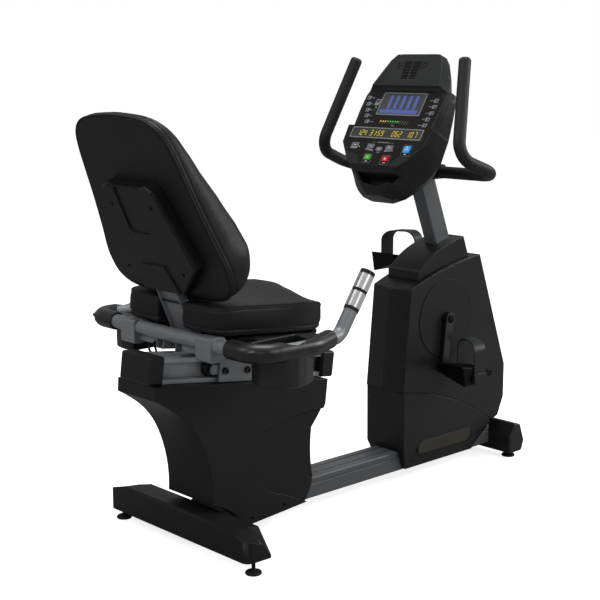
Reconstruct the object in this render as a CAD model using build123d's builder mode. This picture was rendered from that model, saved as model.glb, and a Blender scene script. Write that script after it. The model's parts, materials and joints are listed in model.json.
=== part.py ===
"""Recumbent exercise bike: a steel base beam with a front drive housing, a console on a mast, and a
sloping seat rail that carries a sliding seat with backrest, armrests and pulse grips.

Frame: millimetres, +X forward (towards the console), +Y to the rider's left, +Z up, floor at z = 0.
The origin is on the floor, on the symmetry plane, halfway along the bike. Rider's right is -Y.
"""

import os
from math import atan2, cos, degrees, radians, sin, tan

from build123d import *

os.makedirs("parts", exist_ok=True)

# ---------------------------------------------------------------- driving dimensions
fit = 0.05            # radial clearance of a shaft that turns in its bore
gap = 0.3             # clearance between pieces that only lie close together
wall = 3.0            # wall of the moulded housings

# floor contact
leveller_pad_d = 44.0
leveller_pad_h = 12.0
leveller_stud_d = 10.0
rear_x = -546.0       # axis of the rear levellers
front_x = 721.0       # axis of the front levellers

# base
beam_w = 96.0
beam_h = 62.0
beam_z = 40.0         # underside of the beam
beam_wall = 4.0
beam_groove = 3.0
rear_foot_back = rear_x - 36.0
rear_foot_front = rear_x + 60.0
rear_foot_half = 300.0
rear_leveller_y = rear_foot_half - 20.0
rear_foot_crest = 112.0
rear_foot_low = 36.0
front_foot_back = front_x - 39.0
front_foot_front = front_x + 38.0
front_foot_half = 136.0
front_leveller_y = front_foot_half - 35.0
front_foot_top = 116.0
front_foot_low = 20.0

# seat rail, sloping down towards the front
rail_x = -400.0       # reference point on the rail's centre line
rail_z = 471.0
rail_tilt = 7.3
rail_h = 70.0
rail_w = 100.0
rail_back = -268.0    # ends of the rail, measured along it from the reference point
rail_front = 320.0
rail_recess = 30.0    # depth of the roller channel in each side
cap_t = 33.0
cap_half = 64.0
post_w = 80.0         # seat post that stands on the beam
post_d = 110.0
post_x = -350.0

# rear shroud
shroud_half = 95.0
shroud_top_half = 77.0

# carriage and seat frame
roller_d = 44.0
roller_w = 22.0
axle_d = 12.0
carriage_back = -72.0
carriage_front = 168.0
plate_t = 6.0
plate_y = 58.0        # inner face of the carriage's side plates
bar_d = 38.0          # tube of the seat frame
tube_wall = 2.5       # wall of the seat frame's tubes
bar_x = -582.0
bar_z = 582.0
arm_y = 334.0         # centre of the side arms of the seat frame
back_tilt = 23.0      # lean of the backrest
back_post_w = 86.0
back_post_t = 26.0
back_post_x = -546.0  # rear face of the back post at back_post_z
back_post_z = 585.0
back_post_low = -40.0    # ends of the back post along the backrest
back_post_top = 386.0

# seat and back cushions
seat_w = 432.0
seat_t = 78.0
seat_tilt = 5.0
seat_x = -406.0       # reference point of the seat's underside
seat_z = 591.0
seat_pan_t = 20.0

# drive housing
house_half = 77.0
crank_x = 419.0
crank_z = 500.0
crank_disc_r = 121.0
crank_axle_d = 20.0
crank_len = 152.0
crank_lean = 8.0      # the right crank points down, leaning back by this angle
arm_t = 15.0
arm_in_y = 84.0       # inner face of the crank arms
pedal_axle_d = 14.0
pulley_r = 105.0
wheel_r = 105.0
wheel_w = 28.0
small_pulley_r = 24.0
wheel_x = 575.0         # flywheel axis
wheel_z = 300.0
belt_t = 3.0

# mast, console and handlebar
mast_w = 48.0
mast_d = 66.0
mast_wall = 3.0
mast_x = 461.0        # the mast's centre line at mast_z
mast_z = 733.0
mast_lean = 21.6      # lean towards the rider
console_x = 276.0     # centre of the console's face plane
console_z = 1110.0
console_tilt = 33.0
bar_grip_d = 36.0
bar_tube_d = 30.0

# ---------------------------------------------------------------- planes and helpers
rail_c, rail_s = cos(radians(rail_tilt)), sin(radians(rail_tilt))
rail = Plane(origin=(rail_x, 0, rail_z), x_dir=(rail_c, 0, -rail_s), z_dir=(rail_s, 0, rail_c))


def rail_point(along, side, up):
    """A point given along, across and square to the rail, in the bike's frame."""
    return rail.from_local_coords(Vector(along, side, up))


def rail_section(along):
    """Plane square to the rail, x across the bike and y square to the rail."""
    return Plane(origin=rail_point(along, 0, 0), x_dir=(0, 1, 0), z_dir=(rail_c, 0, -rail_s))


def rail_side(side):
    """Plane parallel to XZ at y = side, turned with the rail; its normal points to -Y."""
    return Plane(origin=rail_point(0, side, 0), x_dir=(rail_c, 0, -rail_s), z_dir=(0, -1, 0))


def side_plane(y):
    """Vertical plane at y, x forward and y up in the sketch; its normal points to -Y."""
    return Plane(origin=(0, y, 0), x_dir=(1, 0, 0), z_dir=(0, -1, 0))


def mirrored(solid):
    """The left-hand twin of a right-hand piece."""
    return solid.mirror(Plane.XZ)


def save(part, name):
    """Label a finished piece and write its STEP file."""
    part.label = name
    export_step(part, f"parts/{name}.step")


def tube(points, bends, outer, bore):
    """A round tube along straight runs joined by arcs."""
    with BuildPart() as made:
        with BuildLine() as path:
            FilletPolyline(*points, radius=bends)
        with BuildSketch(Plane(origin=path.line @ 0, z_dir=path.line % 0)):
            Circle(outer / 2)
            if bore:
                Circle(bore / 2, mode=Mode.SUBTRACT)
        sweep()
    return made.part


def pan_screw(head_d, head_h, shank_d, shank_l):
    """A pan-head screw with a hexagon socket; the head stands on z = 0, the shank points down."""
    with BuildPart() as made:
        Cylinder(head_d / 2, head_h, align=(Align.CENTER, Align.CENTER, Align.MIN))
        fillet(made.edges().group_by(Axis.Z)[-1], head_h * 0.45)
        with BuildSketch(Plane.XY.offset(head_h)):
            RegularPolygon(head_d * 0.26, 6)
        extrude(amount=-head_h * 0.6, mode=Mode.SUBTRACT)
        Cylinder(shank_d / 2, shank_l, align=(Align.CENTER, Align.CENTER, Align.MAX))
    return made.part


# ---------------------------------------------------------------- base: levellers, feet, beam
def leveller(x, y, stud_top):
    """Screw-in foot: a rubber-faced pad on a threaded stud."""
    with BuildPart() as made:
        with BuildSketch(Plane(origin=(x, y, 0), x_dir=(1, 0, 0), z_dir=(0, -1, 0))):
            with BuildLine():
                Polyline((0, 0), (leveller_pad_d / 2 - 2, 0), (leveller_pad_d / 2, 3),
                         (leveller_pad_d / 2 - 2, leveller_pad_h - 5),
                         (leveller_pad_d / 4, leveller_pad_h - 1),
                         (leveller_stud_d / 2, leveller_pad_h), (leveller_stud_d / 2, stud_top),
                         (0, stud_top), close=True)
            make_face()
        revolve(axis=Axis((x, y, 0), (0, 0, 1)))
    return made.part


rear_stud_top = rear_foot_low + 34.0
front_stud_top = front_foot_low + 34.0
for side, word in ((-1, "right"), (1, "left")):
    save(leveller(rear_x, side * rear_leveller_y, rear_stud_top), f"leveller_rear_{word}")
    save(leveller(front_x, side * front_leveller_y, front_stud_top), f"leveller_front_{word}")

foot_drop = 20.0      # how much lower the rear foot is at its ends
with BuildPart() as rear_foot:
    with BuildSketch(Plane.XY.offset(rear_foot_low)):
        with BuildLine():
            foot_end = rear_foot_half
            Polyline((rear_foot_back, -foot_end + 22), (rear_foot_back, foot_end - 22))
            ThreePointArc((rear_foot_back, foot_end - 22), (rear_foot_back + 6, foot_end - 9),
                          (rear_foot_back + 18, foot_end - 3))
            Line((rear_foot_back + 18, foot_end - 3), (rear_foot_front, foot_end))
            Line((rear_foot_front, foot_end), (rear_foot_front, -foot_end))
            Line((rear_foot_front, -foot_end), (rear_foot_back + 18, -foot_end + 3))
            ThreePointArc((rear_foot_back + 18, -foot_end + 3), (rear_foot_back + 6, -foot_end + 9),
                          (rear_foot_back, -foot_end + 22))
        make_face()
    extrude(amount=rear_foot_crest)
    for y, crest, front_cut, front_rise in (
            (-rear_foot_half, rear_foot_crest - foot_drop, 18, 8), (70 - rear_foot_half, rear_foot_crest, 0, 62),
            (rear_foot_half - 70, rear_foot_crest, 0, 62), (rear_foot_half, rear_foot_crest - foot_drop, 18, 8)):
        with BuildSketch(side_plane(y)):
            Polygon((rear_foot_back - 1, rear_foot_low), (rear_foot_front + 1 - front_cut, rear_foot_low),
                    (rear_foot_front + 1 - front_cut, rear_foot_low + front_rise),
                    (rear_foot_back + 52, crest - 5 - front_cut / 2), (rear_foot_back + 8, crest),
                    (rear_foot_back - 1, crest - 6), align=None)
    loft(ruled=True, mode=Mode.INTERSECT)
    with Locations((rear_x, -rear_leveller_y, rear_foot_low), (rear_x, rear_leveller_y, rear_foot_low)):
        Cylinder(leveller_stud_d / 2 + fit, 34.0 + gap, mode=Mode.SUBTRACT,
                 align=(Align.CENTER, Align.CENTER, Align.MIN))
save(rear_foot.part, "rear_foot")

with BuildPart() as main_beam:
    with BuildSketch(Plane.YZ.offset(rear_foot_front)):
        with Locations((0, beam_z + beam_h / 2)):
            RectangleRounded(beam_w, beam_h, 5)
            Rectangle(beam_w - 2 * beam_wall - 2 * beam_groove, beam_h - 2 * beam_wall - 2 * beam_groove,
                      mode=Mode.SUBTRACT)
        for y in (-beam_w / 5, beam_w / 5):
            with Locations((y, beam_z + beam_h)):
                Rectangle(9, 2 * beam_groove, mode=Mode.SUBTRACT)
        for y in (-beam_w / 2, beam_w / 2):
            with Locations((y, beam_z + beam_h * 0.7)):
                Rectangle(2 * beam_groove / 2, 5, mode=Mode.SUBTRACT)
    extrude(amount=front_foot_back - rear_foot_front)
save(main_beam.part, "main_beam")

with BuildPart() as front_foot:
    with BuildSketch(side_plane(front_foot_half)):
        with BuildLine():
            FilletPolyline((front_foot_back, front_foot_low), (front_foot_front - 12, front_foot_low),
                           (front_foot_front, front_foot_low + 34), (front_foot_front - 22, front_foot_top - 4),
                           (front_foot_back + 32, front_foot_top), (front_foot_back, front_foot_top - 42),
                           radius=9, close=True)
        make_face()
    extrude(amount=2 * front_foot_half)
    fillet(front_foot.faces().sort_by(Axis.Y)[0].edges(), 5)
    fillet(front_foot.faces().sort_by(Axis.Y)[-1].edges(), 5)
    with Locations((front_x, -front_leveller_y, front_foot_low), (front_x, front_leveller_y, front_foot_low)):
        Cylinder(leveller_stud_d / 2 + fit, 34.0 + gap, mode=Mode.SUBTRACT,
                 align=(Align.CENTER, Align.CENTER, Align.MIN))
save(front_foot.part, "front_foot")

# ---------------------------------------------------------------- seat rail and its post
rail_slope = tan(radians(rail_tilt))
rail_top = rail_h / 2
recess_h = roller_d + 2 * gap


def rail_height(x, up):
    """Height above the floor of the line that lies `up` square above the rail's centre line."""
    return rail_z - (x - rail_x) * rail_slope + up / rail_c


with BuildPart() as seat_post:
    post_back, post_front = post_x - post_d / 2, post_x + post_d / 2
    beam_top = beam_z + beam_h
    with BuildSketch(side_plane(post_w / 2)):
        Polygon((post_back, beam_top), (post_front, beam_top),
                (post_front, rail_height(post_front, -rail_top)),
                (post_back, rail_height(post_back, -rail_top)), align=None)
    extrude(amount=post_w)
    with BuildSketch(side_plane(post_w / 2 - beam_wall)):
        Polygon((post_back + beam_wall, beam_top - 1), (post_front - beam_wall, beam_top - 1),
                (post_front - beam_wall, rail_height(post_front, 0)),
                (post_back + beam_wall, rail_height(post_back, 0)), align=None)
    extrude(amount=post_w - 2 * beam_wall, mode=Mode.SUBTRACT)
save(seat_post.part, "seat_post")

with BuildPart() as seat_rail:
    with BuildSketch(rail_section(rail_back)):
        RectangleRounded(rail_w, rail_h, 3)
        for side in (-1, 1):
            with Locations((side * (rail_w - rail_recess) / 2, 0)):
                Rectangle(rail_recess, recess_h, mode=Mode.SUBTRACT)
        Rectangle(rail_w - 2 * rail_recess - 10, rail_h - 10, mode=Mode.SUBTRACT)
    extrude(amount=rail_front - rail_back)
save(seat_rail.part, "seat_rail")


def rail_cap(end, direction):
    """Moulded end cap; the rail's end sits in its pocket, which is open below."""
    overlap = 10.0
    roof = 5.0
    with BuildPart() as made:
        with BuildSketch(rail_section(end - direction * overlap)):
            with Locations((0, roof / 2)):
                RectangleRounded(2 * cap_half, rail_h + roof, 8)
        extrude(amount=direction * (overlap + cap_t))
        outer_face = made.faces().sort_by(Axis(tuple(rail.origin), tuple(rail.x_dir * direction)))[-1]
        fillet(outer_face.edges(), 7)
        with BuildSketch(rail_section(end - direction * overlap)):
            with Locations((0, -roof / 2)):
                Rectangle(rail_w + 2 * fit, rail_h + roof + 2 * fit)
        extrude(amount=direction * overlap, mode=Mode.SUBTRACT)
    return made.part


rail_caps = rail_cap(rail_back, -1) + rail_cap(rail_front, 1)
save(rail_caps, "rail_caps")

# ---------------------------------------------------------------- rear shroud
shroud_rear = rail_x + rail_c * (rail_back - cap_t) + 4.0
shroud_front = -96.0
recess_depth = 10.0


def shroud_block(inset):
    """Solid outer shape of the right half of the rear shroud, drawn in by `inset` all round."""
    top_back = (shroud_rear, rail_height(shroud_rear, -rail_top - gap))
    top_front = (shroud_front, rail_height(shroud_front, -rail_top - gap))
    with BuildPart() as made:
        with BuildSketch(side_plane(0)):
            with BuildLine():
                Line(top_front, top_back)
                Line(top_back, (shroud_rear, 436))
                ThreePointArc((shroud_rear, 436), (-662, 416), (-628, 391))
                ThreePointArc((-628, 391), (-578, 336), (-545, 268))
                ThreePointArc((-545, 268), (-529, 200), (-526, 126))
                Line((-526, 126), (-508, 120))
                ThreePointArc((-508, 120), (-450, 86), (-412, beam_z + 1))
                Line((-412, beam_z + 1), (-184, 57))
                ThreePointArc((-184, 57), (-165, 88), (-155, 124))
                ThreePointArc((-155, 124), (-163, 197), (-159, 268))
                ThreePointArc((-159, 268), (-133, 298), (-110, 329))
                Line((-110, 329), top_front)
            make_face()
            if inset:
                offset(amount=-inset)
        extrude(amount=shroud_half)
        with BuildSketch(Plane.YZ.offset(shroud_rear - 10)):
            Polygon((0, 0), (-shroud_half + inset, 0), (-shroud_half + inset, 290),
                    (-shroud_top_half + inset, 500), (0, 500), align=None)
        extrude(amount=shroud_front - shroud_rear + 40, mode=Mode.INTERSECT)
        with BuildSketch(side_plane(-shroud_half + recess_depth + inset)):
            with BuildLine():
                ThreePointArc((-60, 308), (-205, 318), (-310, 303))
                ThreePointArc((-310, 303), (-388, 252), (-397, 195))
                ThreePointArc((-397, 195), (-350, 136), (-269, 97))
                Line((-269, 97), (-170, 50))
                Line((-170, 50), (-60, 308))
            make_face()
            if inset:
                offset(amount=inset)
        extrude(amount=recess_depth + inset, mode=Mode.SUBTRACT)
    return made.part


screw_head_d = 9.0
boss_bore = screw_head_d + 1
boss_floor = 9.0      # depth of a screw boss's bore below the surface
shroud_screws = [(-389.0, 58.0), (-272.0, 69.0)]
cover_screw_places = [(290.0, 67.0), (544.0, 66.0)]


def screw_boss(x, z, y, length):
    """Blind boss behind a moulded wall; its mouth is on the outer face at y."""
    with BuildPart() as made:
        with BuildSketch(side_plane(y + length)):
            with Locations((x, z)):
                Circle(boss_bore / 2 + 3)
        extrude(amount=length - wall / 2)
    return made.part


def boss_cut(x, z, y, length):
    """The bore of a boss and the hole for the screw's shank."""
    with BuildPart() as made:
        with BuildSketch(side_plane(y - 1)):
            with Locations((x, z)):
                Circle(boss_bore / 2)
        extrude(amount=-boss_floor - 1)
        with BuildSketch(side_plane(y)):
            with Locations((x, z)):
                Circle(2 + fit)
        extrude(amount=-length - 1)
    return made.part


boss_length = 16.0
with BuildPart() as rear_shroud_right:
    add(shroud_block(0))
    add(shroud_block(wall), mode=Mode.SUBTRACT)
    with BuildSketch(side_plane(-wall)):
        Polygon((-404, beam_z - 4), (-192, beam_z - 4), (-192, 64), (-404, beam_z + 12), align=None)
    extrude(amount=shroud_half - 2 * wall, mode=Mode.SUBTRACT)
    for x, z in shroud_screws:
        add(screw_boss(x, z, -shroud_half, boss_length))
    for x, z in shroud_screws:
        add(boss_cut(x, z, -shroud_half, boss_length), mode=Mode.SUBTRACT)
    with BuildSketch(side_plane(0)):
        Polygon((-600, beam_z - 10), (-60, beam_z - 10), (-60, beam_z + beam_h + gap),
                (-600, beam_z + beam_h + gap), align=None)
    extrude(amount=beam_w / 2 + gap, mode=Mode.SUBTRACT)
    with BuildSketch(Plane.XY.offset(beam_z + beam_h)):
        with Locations((post_x, 0)):
            Rectangle(post_d + 2 * gap, post_w + 2 * gap)
    extrude(amount=rail_z, mode=Mode.SUBTRACT)
save(rear_shroud_right.part, "rear_shroud_right")
save(mirrored(rear_shroud_right.part), "rear_shroud_left")

# ---------------------------------------------------------------- carriage and its rollers
roller_along = (carriage_back - 12.0, carriage_front - 28.0)
bogie_t = plate_y - rail_w / 2 - 1.5          # bar between the rail's side and the carriage plate
roller_y = rail_w / 2 - 4.0                   # outer face of the rollers
top_gap = 3.0
frame_up = rail_top + top_gap + plate_t       # underside of the seat frame's runners, above the rail's centre
bolt_head_d = 19.0
bolt_shank_d = 8.0
bolt_along = (-53.0, 24.0)
bolt_up = -3.0
lever_along = 96.0
lever_up = 16.0

with BuildPart() as carriage:
    for side in (-1, 1):
        face = plate_y if side > 0 else -plate_y
        with BuildSketch(rail_side(face + (plate_t if side > 0 else 0))):
            with BuildLine():
                FilletPolyline((carriage_back, -rail_top + 2), (carriage_front, -rail_top + 2),
                               (carriage_front, frame_up), (carriage_back, frame_up), radius=4, close=True)
            make_face()
        extrude(amount=plate_t)
        bar_face = plate_y if side > 0 else -plate_y + bogie_t
        with BuildSketch(rail_side(bar_face)):
            with BuildLine():
                FilletPolyline((roller_along[0] - 13, -13), (roller_along[1] + 13, -13),
                               (roller_along[1] + 13, 13), (roller_along[0] - 13, 13), radius=9, close=True)
            make_face()
        extrude(amount=bogie_t)
        for along in roller_along:
            inner = roller_y - roller_w - 1
            axle_face = plate_y if side > 0 else -inner
            with BuildSketch(rail_side(axle_face)):
                with Locations((along, 0)):
                    Circle(axle_d / 2)
            extrude(amount=plate_y - inner)
    with BuildSketch(rail_section(carriage_back + 2)):
        with Locations((0, rail_top + top_gap + plate_t / 2)):
            Rectangle(2 * plate_y + plate_t, plate_t)
    extrude(amount=carriage_front - carriage_back - 4)
    for along in bolt_along:
        with BuildSketch(rail_side(plate_y + plate_t + 1)):
            with Locations((along, bolt_up)):
                Circle(bolt_shank_d / 2 + fit)
        extrude(amount=2 * plate_y + 2 * plate_t + 2, mode=Mode.SUBTRACT)
    with BuildSketch(rail_side(plate_y + plate_t + 16)):
        with Locations((lever_along, lever_up)):
            Circle(13)
    extrude(amount=16)
    with BuildSketch(rail_side(plate_y + plate_t + 17)):
        with Locations((lever_along, lever_up)):
            Circle(7 + fit)
    extrude(amount=20, mode=Mode.SUBTRACT)
save(carriage.part, "carriage")


def roller_pair(along):
    """Two grooved nylon rollers on one axis, one in each side channel of the rail."""
    with BuildPart() as made:
        for side in (-1, 1):
            outer = roller_y if side > 0 else -roller_y + roller_w
            with BuildSketch(rail_side(outer)):
                with Locations((along, 0)):
                    Circle(roller_d / 2)
            extrude(amount=roller_w)
        chamfer(made.edges().filter_by(GeomType.CIRCLE), 1.5)
        for side in (-1, 1):
            outer = roller_y if side > 0 else -roller_y + roller_w
            with BuildSketch(rail_side(outer)):
                with Locations((along, 0)):
                    Circle(axle_d / 2 + fit)
            extrude(amount=roller_w, mode=Mode.SUBTRACT)
    return made.part


save(roller_pair(roller_along[0]), "roller_rear")
save(roller_pair(roller_along[1]), "roller_front")

# ---------------------------------------------------------------- seat frame: bars, runners, back post
runner_y = 40.0
runner_w = 30.0
runner_h = 26.0
runner_ends = (-196.0, 190.0)
box_y = 160.0
seat_slope = tan(radians(seat_tilt))
pan_gap = 1.0         # between the seat cushion and its pan
back_c, back_s = cos(radians(back_tilt)), sin(radians(back_tilt))
back = Plane(origin=(back_post_x, 0, back_post_z), x_dir=(0, 1, 0), z_dir=(back_c, 0, back_s))
bar_route = [(bar_x, 0, bar_z), (bar_x, -arm_y - 12, bar_z), (-400, -arm_y - 12, bar_z - 4),
             (-277, -arm_y + 21, bar_z + 1), (-171, -arm_y + 24, 735)]
bar_bends = [60, 120, 42]


def seat_height(x, up):
    """Height of the line that lies `up` above the seat's underside."""
    return seat_z - (x - seat_x) * seat_slope + up / cos(radians(seat_tilt))


with BuildPart() as seat_frame:
    add(tube(bar_route, bar_bends, bar_d, 0))
    add(mirrored(tube(bar_route, bar_bends, bar_d, 0)))
    for y in (-runner_y, runner_y):
        with BuildSketch(rail_section(runner_ends[0])):
            with Locations((y, frame_up + runner_h / 2)):
                RectangleRounded(runner_w, runner_h, 3)
        extrude(amount=runner_ends[1] - runner_ends[0])
    for x in (-500.0, -270.0):
        with BuildSketch(side_plane(box_y)):
            low = [(end, rail_height(end, frame_up + 4)) for end in (x - 16, x + 16)]
            high = [(end, seat_height(end, -seat_pan_t - pan_gap)) for end in (x + 16, x - 16)]
            Polygon(*low, *high, align=None)
        extrude(amount=2 * box_y)
    for y in (-box_y, box_y):
        with BuildSketch(side_plane(y + 30)):
            with BuildLine():
                FilletPolyline((bar_x - 22, bar_z + 20), (bar_x - 22, bar_z - 44), (bar_x + 38, bar_z - 44),
                               (bar_x + 38, bar_z - 4), (bar_x + 22, bar_z + 20), radius=7, close=True)
            make_face()
        extrude(amount=60)
    for y in (-100.0, 100.0):
        with BuildSketch(Plane.YZ.offset(bar_x - 4)):
            Polygon((y - 55, bar_z - 8), (y + 55, bar_z - 8), (y + 40, bar_z - 34), (y - 25, bar_z - 34), align=None)
        extrude(amount=8)
    with BuildSketch(back.offset(back_post_t / 2)):
        with Locations((0, (back_post_top + back_post_low) / 2)):
            RectangleRounded(back_post_w, back_post_top - back_post_low, 4)
    extrude(amount=back_post_t / 2, both=True)
    with BuildSketch(side_plane(back_post_w / 2)):
        pan_under = [(x, seat_height(x, -seat_pan_t - pan_gap)) for x in (-470, bar_x + 67)]
        Polygon((bar_x, bar_z - 14), (-470, bar_z - 40), *pan_under, (bar_x + 60, bar_z + 16), align=None)
    extrude(amount=back_post_w)
    add(tube(bar_route, bar_bends, bar_d - 2 * tube_wall, 0), mode=Mode.SUBTRACT)
    add(mirrored(tube(bar_route, bar_bends, bar_d - 2 * tube_wall, 0)), mode=Mode.SUBTRACT)
    for y in (-runner_y, runner_y):
        with BuildSketch(rail_section(runner_ends[0])):
            with Locations((y, frame_up + runner_h / 2)):
                Rectangle(runner_w - 2 * tube_wall, runner_h - 2 * tube_wall)
        extrude(amount=runner_ends[1] - runner_ends[0], mode=Mode.SUBTRACT)
    with BuildSketch(back):
        with Locations((0, (back_post_top + back_post_low) / 2)):
            Rectangle(back_post_w - 2 * tube_wall, back_post_top - back_post_low + 10)
    extrude(amount=back_post_t / 2 - tube_wall, both=True, mode=Mode.SUBTRACT)
save(seat_frame.part, "seat_frame")

# ---------------------------------------------------------------- cushions, seat pan and back plate
seat = Plane(origin=(seat_x, 0, seat_z), x_dir=(cos(radians(seat_tilt)), 0, -sin(radians(seat_tilt))),
             z_dir=(sin(radians(seat_tilt)), 0, cos(radians(seat_tilt))))


def seat_section(along, half, edge_h, crown, base=0.0):
    """One cross section of the seat cushion: flat below, sides drawn in, crowned above."""
    here = Plane(origin=seat.from_local_coords(Vector(along, 0, 0)), x_dir=(0, 1, 0),
                 z_dir=seat.x_dir)
    with BuildSketch(here) as made:
        with BuildLine():
            Line((-half + 14, base), (half - 14, base))
            ThreePointArc((half - 14, base), (half, base + edge_h * 0.42), (half - 7, edge_h - 9))
            ThreePointArc((half - 7, edge_h - 9), (half - 12, edge_h - 2), (half - 26, edge_h))
            ThreePointArc((half - 26, edge_h), (0, edge_h + crown), (-half + 26, edge_h))
            ThreePointArc((-half + 26, edge_h), (-half + 12, edge_h - 2), (-half + 7, edge_h - 9))
            ThreePointArc((-half + 7, edge_h - 9), (-half, base + edge_h * 0.42), (-half + 14, base))
        make_face()
    return made.sketch


seat_half = seat_w / 2
with BuildPart() as seat_pad:
    for along, half, edge_h, crown, base in (
            (-180, seat_half - 76, seat_t - 12, 2, 8), (-150, seat_half - 30, seat_t - 2, 1, 1),
            (-115, seat_half - 8, seat_t, -3, 0), (-20, seat_half, seat_t, 1, 0),
            (80, seat_half, seat_t + 1, 11, 0), (140, seat_half - 4, seat_t - 3, 22, 0),
            (172, seat_half - 20, seat_t - 9, 30, 0), (205, seat_half - 52, seat_t - 22, 42, 2),
            (240, seat_half - 92, seat_t - 38, 42, 4), (268, seat_half - 136, seat_t - 48, 28, 4),
            (286, seat_half - 172, seat_t - 54, 12, 3)):
        add(seat_section(along, half, edge_h, crown, base))
    loft()
    post_room = 5.0
    with BuildSketch(Plane.XY.offset(seat_z - 60)):
        with Locations((back_post_x - 20, 0)):
            Rectangle(2 * (back_post_t + 20 + post_room), back_post_w + 2 * post_room)
    extrude(amount=220, mode=Mode.SUBTRACT)
save(seat_pad.part, "seat_pad")

pan_edge = 8.0        # how far the pan's edge stands in from the cushion's
with BuildPart() as seat_pan:
    with BuildSketch(seat.offset(-pan_gap - seat_pan_t)):
        with BuildLine():
            pan_half = [(-104, seat_half - 24 - pan_edge), (-60, seat_half - pan_edge),
                        (120, seat_half - pan_edge), (172, seat_half - 24 - pan_edge),
                        (205, seat_half - 56 - pan_edge), (262, seat_half - 136 - pan_edge)]
            FilletPolyline(*[(x, -y) for x, y in pan_half], *reversed(pan_half), radius=16, close=True)
        make_face()
    extrude(amount=seat_pan_t)
    chamfer(seat_pan.faces().sort_by(Axis.Z)[0].edges(), seat_pan_t * 0.45)
save(seat_pan.part, "seat_pan")

pad_gap = 1.0
pad_base = back_post_t + pad_gap              # rear panel of the back cushion, above the back plane
back_outline = [(96, 150, 30), (112, 214, 62), (150, 246, 92), (200, 247, 112), (270, 232, 112),
                (350, 217, 98), (430, 206, 76), (500, 195, 62), (550, 176, 53), (580, 138, 42), (598, 72, 26)]


def back_section(up, half, thick):
    """One cross section of the back cushion: flat rear panel, rounded sides and a crowned front."""
    here = Plane(origin=back.from_local_coords(Vector(0, up, 0)), x_dir=(0, 1, 0), z_dir=(-back.y_dir))
    with BuildSketch(here) as made:
        with BuildLine():
            side_t = thick * 0.62
            Line((-half + 6, pad_base), (half - 6, pad_base))
            ThreePointArc((half - 6, pad_base), (half + 2, pad_base + side_t * 0.5), (half - 3, pad_base + side_t))
            ThreePointArc((half - 3, pad_base + side_t), (half * 0.93 - 4, pad_base + thick * 0.86),
                          (half * 0.8, pad_base + thick * 0.97))
            ThreePointArc((half * 0.8, pad_base + thick * 0.97), (0, pad_base + thick * 1.1),
                          (-half * 0.8, pad_base + thick * 0.97))
            ThreePointArc((-half * 0.8, pad_base + thick * 0.97), (-half * 0.93 + 4, pad_base + thick * 0.86),
                          (-half + 3, pad_base + side_t))
            ThreePointArc((-half + 3, pad_base + side_t), (-half - 2, pad_base + side_t * 0.5),
                          (-half + 6, pad_base))
        make_face()
    return made.sketch


with BuildPart() as back_pad:
    for up, half, thick in back_outline:
        add(back_section(up, half, thick))
    loft()
save(back_pad.part, "back_pad")

plate_back = 6.0      # how far the back plate stands behind the post
plate_outline = [(82, 122), (172, 206), (112, 403), (104, 417), (80, 430), (58, 423)]
plate_screws = [(81, 371), (114, 187)]
with BuildPart() as back_plate:
    with BuildSketch(back.offset(-plate_back)):
        with BuildLine():
            FilletPolyline(*plate_outline, *[(-y, up) for y, up in reversed(plate_outline)], radius=6, close=True)
        make_face()
    extrude(amount=plate_back + back_post_t + pad_gap - gap)
    rear_edges = back_plate.faces().sort_by(Axis((0, 0, 0), tuple(-back.z_dir)))[-1].edges()
    chamfer(rear_edges, 5)
    with BuildSketch(back.offset(-plate_back)):
        with BuildLine():
            FilletPolyline((-52, 450), (52, 450), (46, 292), (-46, 292), radius=16, close=True)
        make_face()
    extrude(amount=4, mode=Mode.SUBTRACT)
    with BuildSketch(back.offset(-plate_back - 4)):
        Polygon((-74, 129), (74, 129), (46, 204), (-46, 204), align=None)
    extrude(amount=5)
    with BuildSketch(back):
        with Locations((0, back_post_top / 2)):
            RectangleRounded(back_post_w + 2 * gap, back_post_top + 2 * gap, 4)
    extrude(amount=back_post_t + pad_gap, mode=Mode.SUBTRACT)
    for y, up in plate_screws:
        with BuildSketch(back.offset(-plate_back)):
            with Locations((y, up), (-y, up)):
                Circle(boss_bore / 2)
        extrude(amount=boss_floor, mode=Mode.SUBTRACT)
        with BuildSketch(back.offset(-plate_back)):
            with Locations((y, up), (-y, up)):
                Circle(2 + fit)
        extrude(amount=boss_floor + 13, mode=Mode.SUBTRACT)
save(back_plate.part, "back_plate")

# ---------------------------------------------------------------- armrests, pulse grips, lever, cables
sleeve_d = 50.0
rest_start_y = -arm_y + 96.0
rest_end = (-319.0, -arm_y + 14, bar_z)
rest_top = 592.0
bin_low = 486.0
bin_inner_y = arm_y - 87.0
bin_t = 3.0
rest_route = [(bar_x, rest_start_y, bar_z), bar_route[1], bar_route[2], rest_end]


def bin_outline(inset):
    """Plan of the tray under the armrest, drawn in by `inset`."""
    with BuildSketch() as made:
        with BuildLine():
            FilletPolyline((-526, -bin_inner_y), (-530, -arm_y + 40), (-523, -arm_y + 6), (-500, -arm_y - 26),
                           (-470, -arm_y - 33), (-436, -arm_y - 26), (-396, -arm_y - 10), (-374, -bin_inner_y),
                           radius=12, close=True)
        make_face()
        if inset:
            offset(amount=-inset)
    return made.sketch


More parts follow.
